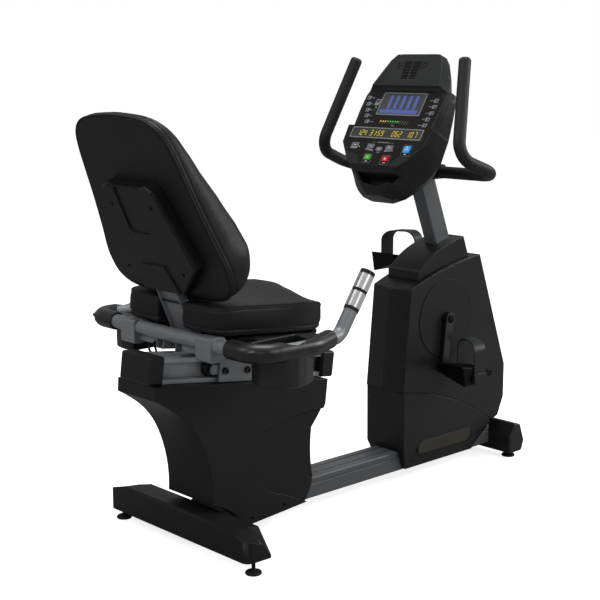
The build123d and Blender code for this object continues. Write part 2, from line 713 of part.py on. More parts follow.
with BuildPart() as armrest_right:
    with BuildSketch(Plane.XY.offset(bin_low)):
        add(bin_outline(0))
    extrude(amount=rest_top - bin_low)
    with BuildSketch(Plane.XY.offset(rest_top - 6)):
        with BuildLine():
            FilletPolyline((-602, -arm_y + 70), (-548, 4 - bin_inner_y), (-366, 4 - bin_inner_y),
                           (-306, -arm_y + 32), (-312, -arm_y), (-420, -arm_y - 28), (-560, -arm_y - 28),
                           (-602, -arm_y + 4), radius=14, close=True)
        make_face()
    extrude(amount=6)
    add(tube(rest_route, bar_bends[:2], sleeve_d, 0))
    with BuildSketch(Plane.XY.offset(bin_low + bin_t)):
        add(bin_outline(bin_t))
    extrude(amount=rest_top, mode=Mode.SUBTRACT)
    add(tube(bar_route, bar_bends, bar_d + 2 * gap, 0), mode=Mode.SUBTRACT)
save(armrest_right.part, "armrest_right")
save(mirrored(armrest_right.part), "armrest_left")

grip_top = Vector(*bar_route[-1])
grip_dir = (Vector(*bar_route[-1]) - Vector(*bar_route[-2])).normalized()
grip_len = 112.0
grip_over = 41.0
plate_len = 44.0
plate_zones = (8.0, 60.0)     # where each pair of plates starts, down from the top end
grip_x_dir = grip_dir.cross(Vector(0, 1, 0)).normalized()


def grip_plane(down):
    """Plane square to the right-hand grip, `down` millimetres below its top end."""
    return Plane(origin=grip_top - grip_dir * down, x_dir=grip_x_dir, z_dir=grip_dir * -1)


with BuildPart() as right_grip:
    with BuildSketch(grip_plane(-3)):
        Circle(grip_over / 2)
    extrude(amount=grip_len + 3)
    with BuildSketch(grip_plane(0)):
        Circle(bar_d / 2 + fit)
    extrude(amount=grip_len + 5, mode=Mode.SUBTRACT)
    for down in plate_zones:
        with BuildSketch(grip_plane(down)):
            Circle(grip_over / 2 + 1)
            Circle(grip_over / 2 - 0.8, mode=Mode.SUBTRACT)
        extrude(amount=plate_len, mode=Mode.SUBTRACT)
save(right_grip.part + mirrored(right_grip.part), "pulse_grips")

with BuildPart() as right_plates:
    for down in plate_zones:
        with BuildSketch(grip_plane(down + gap)):
            Circle(grip_over / 2 + 0.4)
            Circle(grip_over / 2 - 0.8 + fit, mode=Mode.SUBTRACT)
            Rectangle(grip_over + 10, 3, mode=Mode.SUBTRACT)
        extrude(amount=plate_len - 2 * gap)
save(right_plates.part + mirrored(right_plates.part), "pulse_plates")

with BuildPart() as seat_lever:
    lever_at = rail_point(lever_along, 0, lever_up)
    lever_out = 233.0
    with BuildLine() as lever_path:
        FilletPolyline((lever_at.X, plate_y + plate_t + 0.5, lever_at.Z), (lever_at.X, lever_out, lever_at.Z),
                       (lever_at.X + 130, lever_out, lever_at.Z + 44), radius=24)
    with BuildSketch(Plane(origin=lever_path.line @ 0, z_dir=(0, 1, 0))):
        Circle(7)
    sweep()
    knob_at = Vector(lever_at.X + 130, lever_out, lever_at.Z + 44)
    knob_dir = Vector(130, 0, 44).normalized()
    with BuildSketch(Plane(origin=knob_at - knob_dir * 62, z_dir=knob_dir)):
        Circle(11)
    extrude(amount=72)
    fillet(seat_lever.edges().filter_by(GeomType.CIRCLE).sort_by(Axis.X)[-1], 4)
save(seat_lever.part, "seat_lever")

cable_d = 6.0
with BuildPart() as sensor_cables:
    for shift in (0.0, 13.0):
        add(tube([(bar_x + 6, 104 - 1.6 * shift, bar_z - 34), (bar_x + 8 + shift, 106 - 1.6 * shift, 520 - shift),
                  (bar_x + 40 + shift, 100 - shift, 494), (-500 + shift, 80 + 0.2 * shift, 488),
                  (rail_point(carriage_back + 12, 0, 0).X, plate_y + plate_t + 4.0 + shift * 0.6, 486)],
                 [16, 16, 14], cable_d, 0))
save(sensor_cables.part, "sensor_cables")

# ---------------------------------------------------------------- drive housing
seam_rear, seam_middle, seam_front = (205, 296), (450, 240), (640, 141)    # shells above, lower cover below


def house_outline(inset):
    """Side outline of the front shells, drawn in by `inset`."""
    with BuildSketch(side_plane(0)) as made:
        with BuildLine():
            Line(seam_rear, (232, 594))
            ThreePointArc((232, 594), (343, 636), (435, 660))
            ThreePointArc((435, 660), (505, 674), (578, 682))
            Line((578, 682), (733, 262))
            ThreePointArc((733, 262), (736, 248), (732, 236))
            Line((732, 236), (690, 141))
            ThreePointArc((690, 141), (668, 134), seam_front)
            ThreePointArc(seam_front, seam_middle, seam_rear)
        make_face()
        if inset:
            offset(amount=-inset)
    return made.sketch


house_low_z, house_high_z = 291.0, 603.0
house_lean = 29.0     # how far the rear face of the shells leans forward between these heights


def house_plan(inset, shift=0.0):
    """Plan outline of the front housing's right half, drawn in by `inset`, its rear moved by `shift`."""
    back_x = 222 + shift + inset
    return [(back_x, 0), (back_x + 9, -house_half + inset), (716 - inset, -house_half + inset),
            (738 - inset, -58 + inset), (738 - inset, 0)]


def house_block(inset):
    """Right half of the front shells as a solid, drawn in by `inset`."""
    with BuildPart() as made:
        extrude(house_outline(inset), amount=house_half)
        for rise in (-0.6, 1.4):
            with BuildSketch(Plane.XY.offset(house_low_z + rise * (house_high_z - house_low_z))):
                Polygon(*house_plan(inset, rise * house_lean), align=None)
        loft(ruled=True, mode=Mode.INTERSECT)
    return made.part


mast_dir = Vector(-sin(radians(mast_lean)), 0, cos(radians(mast_lean)))
mast_plane = Plane(origin=(mast_x, 0, mast_z), x_dir=(0, 1, 0), z_dir=mast_dir)
console = Plane(origin=(console_x, 0, console_z), x_dir=(0, -1, 0),
                z_dir=(-cos(radians(console_tilt)), 0, sin(radians(console_tilt))))
hub_hole_r = 26.0


def cross_bar(x, z, half, diameter):
    """A round bar across the bike."""
    with BuildPart() as made:
        with BuildSketch(side_plane(half)):
            with Locations((x, z)):
                Circle(diameter / 2)
        extrude(amount=2 * half)
    return made.part


def seam_opening():
    """Room inside the housing where the shells stand on the lower cover."""
    inner = house_plan(wall)
    with BuildPart() as made:
        with BuildSketch(side_plane(0)):
            Polygon((244, 360), (244, 262), (450, 205), (590, 120), (636, 124), (640, 146), (668, 150),
                    (704, 232), (700, 300), align=None)
        extrude(amount=house_half, both=True)
        with BuildSketch():
            Polygon(*inner, *[(x, -y) for x, y in reversed(inner)], align=None)
        extrude(amount=600, mode=Mode.INTERSECT)
    return made.part


def mast_prism(clearance, length):
    """The mast's outer shape, grown by `clearance`, long enough to cut a passage."""
    with BuildPart() as made:
        with BuildSketch(mast_plane):
            RectangleRounded(mast_w + 2 * clearance, mast_d + 2 * clearance, 6)
        extrude(amount=length, both=True)
    return made.part


with BuildPart() as front_shell_right:
    add(house_block(0))
    add(house_block(wall), mode=Mode.SUBTRACT)
    add(mast_prism(gap, 200), mode=Mode.SUBTRACT)
    with BuildSketch(side_plane(0)):
        with Locations((crank_x, crank_z)):
            Circle(hub_hole_r)
    extrude(amount=2 * house_half, mode=Mode.SUBTRACT)
    add(seam_opening(), mode=Mode.SUBTRACT)
save(front_shell_right.part, "front_shell_right")
save(mirrored(front_shell_right.part), "front_shell_left")


def lower_outline(inset):
    """Side outline of the lower cover, drawn in by `inset`."""
    below = [(x, z - gap) for x, z in (seam_front, seam_middle, seam_rear)]
    with BuildSketch(side_plane(0)) as made:
        with BuildLine():
            Line(below[2], (205, 43))
            Line((205, 43), (582, 43))
            ThreePointArc((582, 43), (598, 66), (622, 93))
            ThreePointArc((622, 93), (634, 108), (652, 122))
            Line((652, 122), below[0])
            ThreePointArc(*below)
        make_face()
        if inset:
            offset(amount=-inset)
    return made.sketch


low_half = 58.0       # half width of the lower cover at its bottom edge
low_slope_top = 113.0


def lower_block(inset):
    """Lower cover as a solid, drawn in by `inset`."""
    half, low = house_half - inset, low_half - inset
    with BuildPart() as made:
        extrude(lower_outline(inset), amount=house_half, both=True)
        with BuildSketch(Plane.YZ.offset(200)):
            Polygon((-low, 43), (low, 43), (half, low_slope_top), (half, 300), (-half, 300),
                    (-half, low_slope_top), align=None)
        extrude(amount=500, mode=Mode.INTERSECT)
        with BuildSketch():
            Polygon(*house_plan(inset), *[(x, -y) for x, y in reversed(house_plan(inset))], align=None)
        extrude(amount=400, mode=Mode.INTERSECT)
        with BuildSketch(side_plane(house_half)):
            Polygon((234 + inset, 310), (236 + inset, 118), (258 + inset, 54), (268 + inset, 40), (800, 40),
                    (800, 310), align=None)
        extrude(amount=2 * house_half, mode=Mode.INTERSECT)
    return made.part


cover_screw_y = 63.0
cover_boss = 12.0
with BuildPart() as front_lower_cover:
    add(lower_block(0))
    add(lower_block(wall), mode=Mode.SUBTRACT)
    with BuildSketch(Plane.YZ.offset(200)):
        Rectangle(beam_w + 2 * gap, 2 * (beam_z + beam_h + gap))
    extrude(amount=500, mode=Mode.SUBTRACT)
    add(seam_opening(), mode=Mode.SUBTRACT)
    for x, z in cover_screw_places:
        add(screw_boss(x, z, -cover_screw_y, cover_boss))
        add(mirrored(screw_boss(x, z, -cover_screw_y, cover_boss)))
    for x, z in cover_screw_places:
        add(boss_cut(x, z, -cover_screw_y, cover_boss), mode=Mode.SUBTRACT)
        add(mirrored(boss_cut(x, z, -cover_screw_y, cover_boss)), mode=Mode.SUBTRACT)
save(front_lower_cover.part, "front_lower_cover")

cover_half = 62.0
with BuildPart() as front_top_cover:
    for inset in (0, wall):
        with BuildSketch(side_plane(cover_half - inset)):
            with BuildLine():
                Line((308 + inset, 560), (308 + inset, 652))
                ThreePointArc((308 + inset, 652), (358, 690 - inset), (408, 714 - inset))
                ThreePointArc((408, 714 - inset), (460, 731 - inset), (514 - inset / 2, 744 - inset))
                Line((514 - inset / 2, 744 - inset), (586 - inset, 560))
                Line((586 - inset, 560), (308 + inset, 560))
            make_face()
        extrude(amount=2 * (cover_half - inset), mode=Mode.ADD if inset == 0 else Mode.SUBTRACT)
    add(house_block(-gap), mode=Mode.SUBTRACT)
    add(mirrored(house_block(-gap)), mode=Mode.SUBTRACT)
    add(mast_prism(gap, 200), mode=Mode.SUBTRACT)
save(front_top_cover.part, "front_top_cover")

disc_t = 2.0
hub_cover_r = 17.0
with BuildPart() as right_disc:
    with BuildSketch(side_plane(-house_half)):
        with Locations((crank_x, crank_z)):
            Circle(crank_disc_r)
            Circle(hub_cover_r, mode=Mode.SUBTRACT)
    extrude(amount=disc_t)
    chamfer(right_disc.faces().sort_by(Axis.Y)[0].edges(), 1)
save(right_disc.part + mirrored(right_disc.part), "crank_discs")

# ---------------------------------------------------------------- front frame and drive
frame_plate_y = 34.0  # inner face of the frame's side plates
frame_plate_t = 6.0
bearing_r = 23.5
bearing_w = 14.0
wheel_shaft_r = 10.0
mast_seat = 612.0     # height the mast stands at
with BuildPart() as front_frame:
    for side in (-1, 1):
        face = frame_plate_y + frame_plate_t if side > 0 else -frame_plate_y
        with BuildSketch(side_plane(face)):
            Polygon((440, beam_top), (600, beam_top), (636, 190), (636, 330), (600, 520), (562, 645), (440, 645),
                    (384, 556), (384, 450), (440, 360), align=None)
            with Locations((crank_x, crank_z)):
                Circle(bearing_r, mode=Mode.SUBTRACT)
        extrude(amount=frame_plate_t)
        cheek = frame_plate_y if side > 0 else -mast_w / 2
        with BuildSketch(side_plane(cheek)):
            Polygon((462, mast_seat - 8), (556, mast_seat - 8), (542, 645), (446, 645), align=None)
        extrude(amount=frame_plate_y - mast_w / 2)
    with BuildSketch(side_plane(frame_plate_y)):
        Polygon((462, mast_seat - 8), (556, mast_seat - 8), (556, mast_seat), (462, mast_seat), align=None)
        Polygon((440, beam_top), (600, beam_top), (600, beam_top + 8), (440, beam_top + 8), align=None)
        with Locations((wheel_x, wheel_z)):
            Circle(wheel_shaft_r)
        with Locations((562, 530)):
            Circle(9)
    extrude(amount=2 * frame_plate_y)
save(front_frame.part, "front_frame")

with BuildPart() as right_bearing:
    with BuildSketch(side_plane(-frame_plate_y)):
        with Locations((crank_x, crank_z)):
            Circle(bearing_r)
            Circle(crank_axle_d / 2 + fit, mode=Mode.SUBTRACT)
    extrude(amount=bearing_w)
save(right_bearing.part + mirrored(right_bearing.part), "crank_bearings")

axle_half = 97.0
with BuildPart() as crank_axle:
    with BuildSketch(side_plane(axle_half)):
        with Locations((crank_x, crank_z)):
            Circle(crank_axle_d / 2)
    extrude(amount=2 * axle_half)
    chamfer(crank_axle.edges().filter_by(GeomType.CIRCLE), 1.5)
save(crank_axle.part, "crank_axle")

belt_y = -10.0        # left edge of the belt
belt_w = 16.0
with BuildPart() as drive_pulley:
    with BuildSketch(side_plane(belt_y)):
        with Locations((crank_x, crank_z)):
            Circle(pulley_r)
            Circle(crank_axle_d / 2, mode=Mode.SUBTRACT)
    extrude(amount=belt_w)
    with BuildSketch(side_plane(belt_y + 4)):
        with Locations((crank_x, crank_z)):
            Circle(26)
            Circle(crank_axle_d / 2, mode=Mode.SUBTRACT)
    extrude(amount=belt_w + 8)
    for face in (belt_y, belt_y - belt_w + 5):
        with BuildSketch(side_plane(face)):
            with Locations((crank_x, crank_z)):
                Circle(pulley_r - 10)
                Circle(32, mode=Mode.SUBTRACT)
        extrude(amount=5, mode=Mode.SUBTRACT)
save(drive_pulley.part, "drive_pulley")

with BuildPart() as flywheel:
    for radius, inner, left, width in ((wheel_r, 78, 22, wheel_w), (80, wheel_shaft_r, 12, 8),
                                       (26, wheel_shaft_r, 30, 60), (small_pulley_r, wheel_shaft_r, -8, 20),
                                       (28, wheel_shaft_r, -7, 3), (28, wheel_shaft_r, -26, 3)):
        with BuildSketch(side_plane(left)):
            with Locations((wheel_x, wheel_z)):
                Circle(radius)
                Circle(inner + (fit if inner == wheel_shaft_r else 0), mode=Mode.SUBTRACT)
        extrude(amount=width)
    with BuildSketch(side_plane(belt_y)):
        with Locations((wheel_x, wheel_z)):
            Circle(30)
            Circle(small_pulley_r, mode=Mode.SUBTRACT)
    extrude(amount=belt_w, mode=Mode.SUBTRACT)
save(flywheel.part, "flywheel")

with BuildPart() as drive_belt:
    span = Vector(wheel_x - crank_x, wheel_z - crank_z)
    centres = span.length
    turn = degrees(atan2(span.Y, span.X))
    belt_plane = Plane(origin=(crank_x, belt_y, crank_z), x_dir=(cos(radians(turn)), 0, sin(radians(turn))),
                       z_dir=(0, -1, 0))
    lean = degrees(atan2(pulley_r - small_pulley_r, (centres ** 2 - (pulley_r - small_pulley_r) ** 2) ** 0.5))
    for grown, mode in ((belt_t, Mode.ADD), (0, Mode.SUBTRACT)):
        big, small = pulley_r + grown, small_pulley_r + grown
        touch = [Vector(big * sin(radians(lean)), big * cos(radians(lean))),
                 Vector(centres + small * sin(radians(lean)), small * cos(radians(lean)))]
        with BuildSketch(belt_plane):
            with BuildLine():
                Line(touch[0], touch[1])
                ThreePointArc(touch[1], (centres + small, 0), (touch[1].X, -touch[1].Y))
                Line((touch[1].X, -touch[1].Y), (touch[0].X, -touch[0].Y))
                ThreePointArc((touch[0].X, -touch[0].Y), (-big, 0), touch[0])
            make_face()
        extrude(amount=belt_w, mode=mode)
save(drive_belt.part, "drive_belt")

magnet_y = frame_plate_y
with BuildPart() as brake_magnet:
    with BuildSketch(side_plane(magnet_y)):
        with Locations((wheel_x, wheel_z - wheel_r - 4)):
            RectangleRounded(64, 46, 4)
    extrude(amount=frame_plate_y + 14)
    with BuildSketch(side_plane(22 + 2)):
        with Locations((wheel_x, wheel_z - wheel_r + 20)):
            Rectangle(70, 50)
    extrude(amount=wheel_w + 4, mode=Mode.SUBTRACT)
save(brake_magnet.part, "brake_magnet")

# ---------------------------------------------------------------- cranks, pedals and straps
pedal_in = 112.0      # inner face of the pedals
pedal_out = 212.0
strap_t = 3.5


def crank_point(side):
    """Centre of the pedal spindle; side is -1 for the right crank and 1 for the left one."""
    lean = radians(crank_lean)
    return crank_x + side * crank_len * sin(lean), crank_z + side * crank_len * cos(lean)


def crank_arm(side):
    """One crank arm with its hub boss and pedal spindle."""
    tip_x, tip_z = crank_point(side)
    in_face = arm_in_y + arm_t if side > 0 else -arm_in_y
    out_face = pedal_out - 6 if side > 0 else -arm_in_y - 1
    with BuildPart() as made:
        with BuildSketch(side_plane(in_face)):
            with Locations((crank_x, crank_z)):
                Circle(20)
            with Locations((tip_x, tip_z)):
                Circle(16)
            Polygon((crank_x - 18, crank_z), (crank_x + 18, crank_z), (tip_x + 14, tip_z), (tip_x - 14, tip_z),
                    align=None)
        extrude(amount=arm_t)
        fillet(made.edges().filter_by(Axis.Y, reverse=True).filter_by(GeomType.LINE), 3)
        with BuildSketch(side_plane(in_face + (0 if side > 0 else 5))):
            with Locations((crank_x, crank_z)):
                Circle(hub_cover_r - 1)
        extrude(amount=arm_t + 5)
        with BuildSketch(side_plane(out_face)):
            with Locations((tip_x, tip_z)):
                Circle(pedal_axle_d / 2)
        extrude(amount=pedal_out - 6 - arm_in_y - 1)
        with BuildSketch(side_plane(axle_half if side > 0 else -arm_in_y + 6)):
            with Locations((crank_x, crank_z)):
                Circle(crank_axle_d / 2)
        extrude(amount=axle_half - arm_in_y + 6, mode=Mode.SUBTRACT)
    return made.part


save(crank_arm(-1) + crank_arm(1), "crank_arms")


def pedal(side):
    """Pedal body: level deck above, deeper at its outer end, with a bore for the spindle."""
    tip_x, tip_z = crank_point(side)
    inner = [(-56, 29), (91, 0), (91, -24), (20, -14), (-54, 1)]
    outer = [(-54, 29), (89, 1), (84, -18), (16, -34), (-42, -35)]
    with BuildPart() as made:
        for y, points in ((side * pedal_in, inner), (side * pedal_out, outer)):
            with BuildSketch(side_plane(y)):
                Polygon(*[(tip_x + dx, tip_z + dz) for dx, dz in points], align=None)
        loft(ruled=True)
        chamfer(made.faces().sort_by(Axis.Y)[-1 if side > 0 else 0].edges(), 3)
        with BuildSketch(side_plane(side * pedal_in)):
            with Locations((tip_x, tip_z)):
                Circle(pedal_axle_d / 2 + fit)
        extrude(amount=-side * (pedal_out - 6 - pedal_in + 1), mode=Mode.SUBTRACT)
    return made.part


def strap_outline(side, rise, grown):
    """Arch of the foot strap in the plane across the bike, grown outwards by `grown`."""
    inner_y, outer_y = side * (pedal_in - grown), side * (pedal_out + grown)
    return [(inner_y, rise), (inner_y, 92 + grown), (outer_y, 89 + grown), (outer_y, -20)]


def pedal_strap(side):
    """Foot strap: an arch over the pedal with its buckle low on the outside."""
    tip_x, tip_z = crank_point(side)
    with BuildPart() as made:
        with BuildSketch(Plane(origin=(tip_x - 20, 0, tip_z), x_dir=(0, 1, 0), z_dir=(1, 0, 0))):
            with BuildLine():
                outer = FilletPolyline(*strap_outline(side, -8, strap_t), radius=(34 + strap_t, 30 + strap_t))
                inner = FilletPolyline(*strap_outline(side, -8, 0), radius=(34, 30))
                Line(outer @ 0, inner @ 0)
                Line(outer @ 1, inner @ 1)
            make_face()
        extrude(amount=120)
        with BuildSketch(Plane.XY.offset(tip_z - 40)):
            Polygon((tip_x + 44, side * 100), (tip_x + 80, side * 100), (tip_x + 76, side * 140),
                    (tip_x + 46, side * 224), (tip_x - 8, side * 224), (tip_x + 26, side * 160), align=None)
        extrude(amount=150, mode=Mode.INTERSECT)
        buckle_y = side * (pedal_out + strap_t)
        with BuildSketch(side_plane(max(buckle_y, buckle_y + side * 8))):
            with Locations((tip_x + 20, tip_z - 14)):
                RectangleRounded(58, 26, 5)
        extrude(amount=8)
    return made.part


for side, word in ((-1, "right"), (1, "left")):
    save(pedal(side), f"pedal_{word}")
    save(pedal_strap(side), f"pedal_strap_{word}")

# ---------------------------------------------------------------- mast and handlebar
handle_x, handle_z = 390.0, 950.0     # where the handlebar crosses the mast
mast_reach = 480.0                    # more than the mast's length on each side of its reference point
handle_route = [(handle_x, 0, handle_z), (handle_x, -70, handle_z), (handle_x - 10, -302, handle_z + 2),
                (222, -278, 1012), (315, -217, 1275)]
handle_bends = [200, 60, 55]
mast_end_c = -45.0    # the mast's top end, measured square to the console's face
with BuildPart() as mast:
    with BuildSketch(mast_plane):
        RectangleRounded(mast_w, mast_d, 6)
        RectangleRounded(mast_w - 2 * mast_wall, mast_d - 2 * mast_wall, 3, mode=Mode.SUBTRACT)
    extrude(amount=mast_reach, both=True)
    with BuildSketch(Plane.XY.offset(mast_seat)):
        Rectangle(mast_reach * 4, mast_w * 4)
    extrude(amount=-mast_reach, mode=Mode.SUBTRACT)
    with BuildSketch(console.offset(mast_end_c)):
        Rectangle(mast_w * 4, mast_reach * 3)
    extrude(amount=mast_reach, mode=Mode.SUBTRACT)
    add(cross_bar(handle_x, handle_z, mast_w, bar_tube_d), mode=Mode.SUBTRACT)
save(mast.part, "mast")

with BuildPart() as handlebar:
    add(tube(handle_route, handle_bends, bar_tube_d, 0))
    add(mirrored(tube(handle_route, handle_bends, bar_tube_d, 0)))
save(handlebar.part, "handlebar")

grip_from = 76.0
with BuildPart() as right_rubber:
    ratio = (grip_from - 70) / 232
    start = (handle_x - 10 * ratio, -grip_from, handle_z + 2 * ratio)
    add(tube([start, *handle_route[2:]], handle_bends[1:], bar_grip_d, bar_tube_d))
    tip = Vector(*handle_route[-1])
    tip_dir = (tip - Vector(*handle_route[-2])).normalized()
    with BuildSketch(Plane(origin=tip, z_dir=tip_dir)):
        Circle(bar_grip_d / 2)
    extrude(amount=13)
    fillet(right_rubber.edges().filter_by(GeomType.CIRCLE).sort_by(Axis(tuple(tip), tuple(tip_dir)))[-1], 10)
save(right_rubber.part + mirrored(right_rubber.part), "handlebar_grips")

clamp_half = 62.0
with BuildPart() as handlebar_clamp:
    with BuildSketch(side_plane(clamp_half)):
        with BuildLine():
            FilletPolyline((handle_x - 28, handle_z - 21), (handle_x + 34, handle_z - 21),
                           (handle_x + 34, handle_z + 22), (handle_x - 28, handle_z + 22), radius=12, close=True)
        make_face()
    extrude(amount=2 * clamp_half)
    add(mast_prism(gap, 400), mode=Mode.SUBTRACT)
    add(cross_bar(handle_x, handle_z, clamp_half + 1, bar_tube_d + 4), mode=Mode.SUBTRACT)
save(handlebar_clamp.part, "handlebar_clamp")

# ---------------------------------------------------------------- console
console_deep = 88.0   # greatest depth of the console's back behind its face plane
front_c = 10.0        # upper panel surface
low_c = 20.0          # lower panel surface, proud of the upper one
cap_c = 30.0          # fan cap surface
face_t = 1.2
split_c = -2.0        # where the back and the front meet
chin_b = -180.0       # the front ends here and the back carries on round the chin
upper_face_half = [(104, 88), (150, 70), (146, -34)]
lower_face_half = [(166, -39), (156, -97), (124, -126), (84, -133), (70, -146), (58, -164)]
# across the console at height b: half width and depth of the face, of the widest line and of the back
console_stations = [
    (208, 64, cap_c - 4, 72, 14, 52, -6), (204, 84, cap_c, 94, 8, 72, -16), (184, 101, cap_c, 112, 4, 90, -26),
    (140, 118, cap_c, 137, 0, 112, -30), (98, 134, cap_c, 152, -10, 124, -38),
    (95, 136, cap_c - 3, 160, -12, 130, -40), (89, 154, front_c, 170, -16, 138, -42),
    (70, 160, front_c, 174, -20, 144, -46), (20, 161, front_c, 177, -35, 150, -60),
    (-36, 157, front_c, 176, -52, 154, -76), (-39, 169, low_c, 176, -53, 154, -77),
    (-97, 163, low_c, 168, -67, 150, -console_deep), (-143, 125, low_c, 160, -64, 140, -console_deep),
    (-168, 97, low_c, 146, -62, 124, -console_deep), (-199, 66, -2, 119, -60, 98, -console_deep),
    (-220, 50, -18, 95, -60, 76, -86), (-240, 28, -33, 60, -56, 42, -80)]


def both_sides(points):
    """Close a half outline with its twin on the other side."""
    half = [(a, b) for a, b in points if a > 0]
    return half + [(-a, b) for a, b in reversed(half)]


def panel(points, low, high, inset=0.0, corner=4.0):
    """Prism between two depths square to the console's face."""
    with BuildPart() as made:
        with BuildSketch(console.offset(low)):
            if corner:
                with BuildLine():
                    FilletPolyline(*both_sides(points), radius=corner, close=True)
                make_face()
            else:
                Polygon(*both_sides(points), align=None)
            if inset:
                offset(amount=-inset)
        extrude(amount=high - low)
    return made.part


def console_body(inset):
    """The console's outer shape, drawn in by `inset`."""
    with BuildPart() as made:
        for b, face, face_c, wide, wide_c, rear, rear_c in console_stations:
            if b == console_stations[0][0]:
                b -= inset
            if b == console_stations[-1][0]:
                b += inset
            here = Plane(origin=console.from_local_coords(Vector(0, b, 0)), x_dir=console.x_dir,
                         z_dir=-console.y_dir)
            with BuildSketch(here):
                Polygon((-face, face_c), (face, face_c), (wide, wide_c), (rear, rear_c), (-rear, rear_c),
                        (-wide, wide_c), align=None)
                if inset:
                    offset(amount=-inset, kind=Kind.INTERSECTION)
        loft(ruled=True)
    return made.part


def front_zone():
    """The room in front of the split, down to the chin."""
    with BuildPart() as made:
        with BuildSketch(console.offset(split_c)):
            Polygon((-200, chin_b), (200, chin_b), (200, 260), (-200, 260), align=None)
        extrude(amount=60)
    return made.part


def socket_prism(grown):
    """Sleeve around the mast's top end."""
    with BuildPart() as made:
        with BuildSketch(mast_plane):
            Rectangle(mast_w + 2 * grown, mast_d + 2 * grown)
        extrude(amount=480)
    return made.part


def window(a_half, b_low, b_high, low, high, grown=0.0):
    """Rounded rectangular prism on the console's face."""
    with BuildPart() as made:
        with BuildSketch(console.offset(low)):
            with Locations((0, (b_low + b_high) / 2)):
                RectangleRounded(2 * (a_half + grown), b_high - b_low + 2 * grown, 4)
        extrude(amount=high - low)
    return made.part


lcd = (87.0, 4.0, 82.0)
text_line = (142.0, -82.0, -45.0)
frame_w = 4.0
keys = {"start_key": (-32.0, -145.0, 25.0, 17.0), "stop_key": (40.0, -147.0, 25.0, 17.0),
        "fan_key": (107.0, -112.0, 25.0, 22.0), "level_down_key": (-38.0, -108.0, 28.0, 15.0),
        "enter_key": (0.0, -116.0, 24.0, 14.0), "level_up_key": (38.0, -110.0, 28.0, 15.0)}
key_travel = 1.5
tray_outline = [(-65, -187), (94, -184), (68, -205), (8, -218), (-46, -212)]
tray_deep = 52.0      # depth of the tray behind the console's face plane
key_floor = low_c - 9.0


def key_prism(place, low, high, grown=0.0):
    """Prism of one key at its place on the lower panel."""
    a, b, width, height = place
    with BuildPart() as made:
        with BuildSketch(console.offset(low)):
            with Locations((a, b)):
                RectangleRounded(width + 2 * grown, height + 2 * grown, 3)
        extrude(amount=high - low)
    return made.part


fan_a, fan_b = -8.0, 149.0
fan_r = 30.0
fan_pin_r = 4.0
fan_low, fan_high = -22.0, -8.0
console_shell = console_body(0) - console_body(wall)
with BuildPart() as console_back:
    add(console_shell - front_zone())
    socket = socket_prism(gap + wall)
    socket_room = panel([(60, 60), (60, -80)], -console_deep, mast_end_c + wall, 0, 0)
    add(socket & socket_room & console_body(0))
    bore_room = panel([(70, 90), (70, -120)], -console_deep - 60, mast_end_c, 0, 0)
    add(socket_prism(gap) & bore_room, mode=Mode.SUBTRACT)
    with BuildSketch(console.offset(-tray_deep)):
        Polygon(*tray_outline, align=None)
        offset(amount=wall)
    tray_block = extrude(amount=tray_deep + low_c, mode=Mode.PRIVATE)
    add(tray_block & console_body(0))
    with BuildSketch(console.offset(low_c)):
        Polygon(*tray_outline, align=None)
    extrude(amount=-low_c - tray_deep + wall, mode=Mode.SUBTRACT)
    for radius, top in ((7.5, fan_low - 0.5), (fan_pin_r, fan_high - 2)):
        with BuildSketch(console.offset(-34)):
            with Locations((fan_a, fan_b)):
                Circle(radius)
        fan_post = extrude(amount=34 + top, mode=Mode.PRIVATE)
        add(fan_post & console_body(0))
save(console_back.part, "console_back")

with BuildPart() as console_front:
    add(console_shell & front_zone())
    with BuildSketch(console.offset(cap_c)):
        for row in range(12):
            with Locations((-25 + row * 0.5, 178 - row * 5.2), (10 + row * 0.1, 178 - row * 5.2)):
                Rectangle(30 - row * 0.4, 2.8)
    extrude(amount=-wall - 1, mode=Mode.SUBTRACT)
    for place in keys.values():
        add(key_prism(place, key_floor, low_c + 1, gap), mode=Mode.SUBTRACT)
save(console_front.part, "console_front")

with BuildPart() as upper_face:
    add(panel(upper_face_half, front_c, front_c + face_t, 0, 3))
    add(window(*lcd, front_c, front_c + face_t, gap), mode=Mode.SUBTRACT)
with BuildPart() as lower_face:
    add(panel(lower_face_half, low_c, low_c + face_t, 0, 2))
    add(window(*text_line, low_c, low_c + face_t, gap), mode=Mode.SUBTRACT)
    for place in keys.values():
        add(key_prism(place, low_c, low_c + face_t, gap), mode=Mode.SUBTRACT)
save(upper_face.part + lower_face.part, "console_face")


def display(place, low):
    """Clear window with a raised frame."""
    a_half, b_low, b_high = place
    with BuildPart() as made:
        add(window(a_half, b_low, b_high, low, low + face_t + 1.3))
        add(window(a_half - frame_w, b_low + frame_w, b_high - frame_w, low + face_t, low + 9), mode=Mode.SUBTRACT)
    return made.part


save(display(lcd, front_c) + display(text_line, low_c), "display_windows")

for name, place in keys.items():
    save(key_prism(place, key_floor + key_travel + 1, low_c + face_t + key_travel), name)

with BuildPart() as fan_rotor:
    with BuildSketch(console.offset(fan_low)):
        with Locations((fan_a, fan_b)):
            Circle(11)
            with PolarLocations(0, 7):
                with Locations((fan_r / 2 + 2, 0)):
                    Rectangle(fan_r - 6, 5, rotation=24)
    extrude(amount=fan_high - fan_low)
    with BuildSketch(console.offset(fan_low)):
        with Locations((fan_a, fan_b)):
            Circle(fan_pin_r + fit)
    extrude(amount=fan_high - fan_low, mode=Mode.SUBTRACT)
save(fan_rotor.part, "fan_rotor")

# ---------------------------------------------------------------- screws
def placed(solid, origin, normal):
    """Put a screw's head on a point with its axis along `normal`."""
    return Plane(origin=origin, z_dir=normal).location * solid


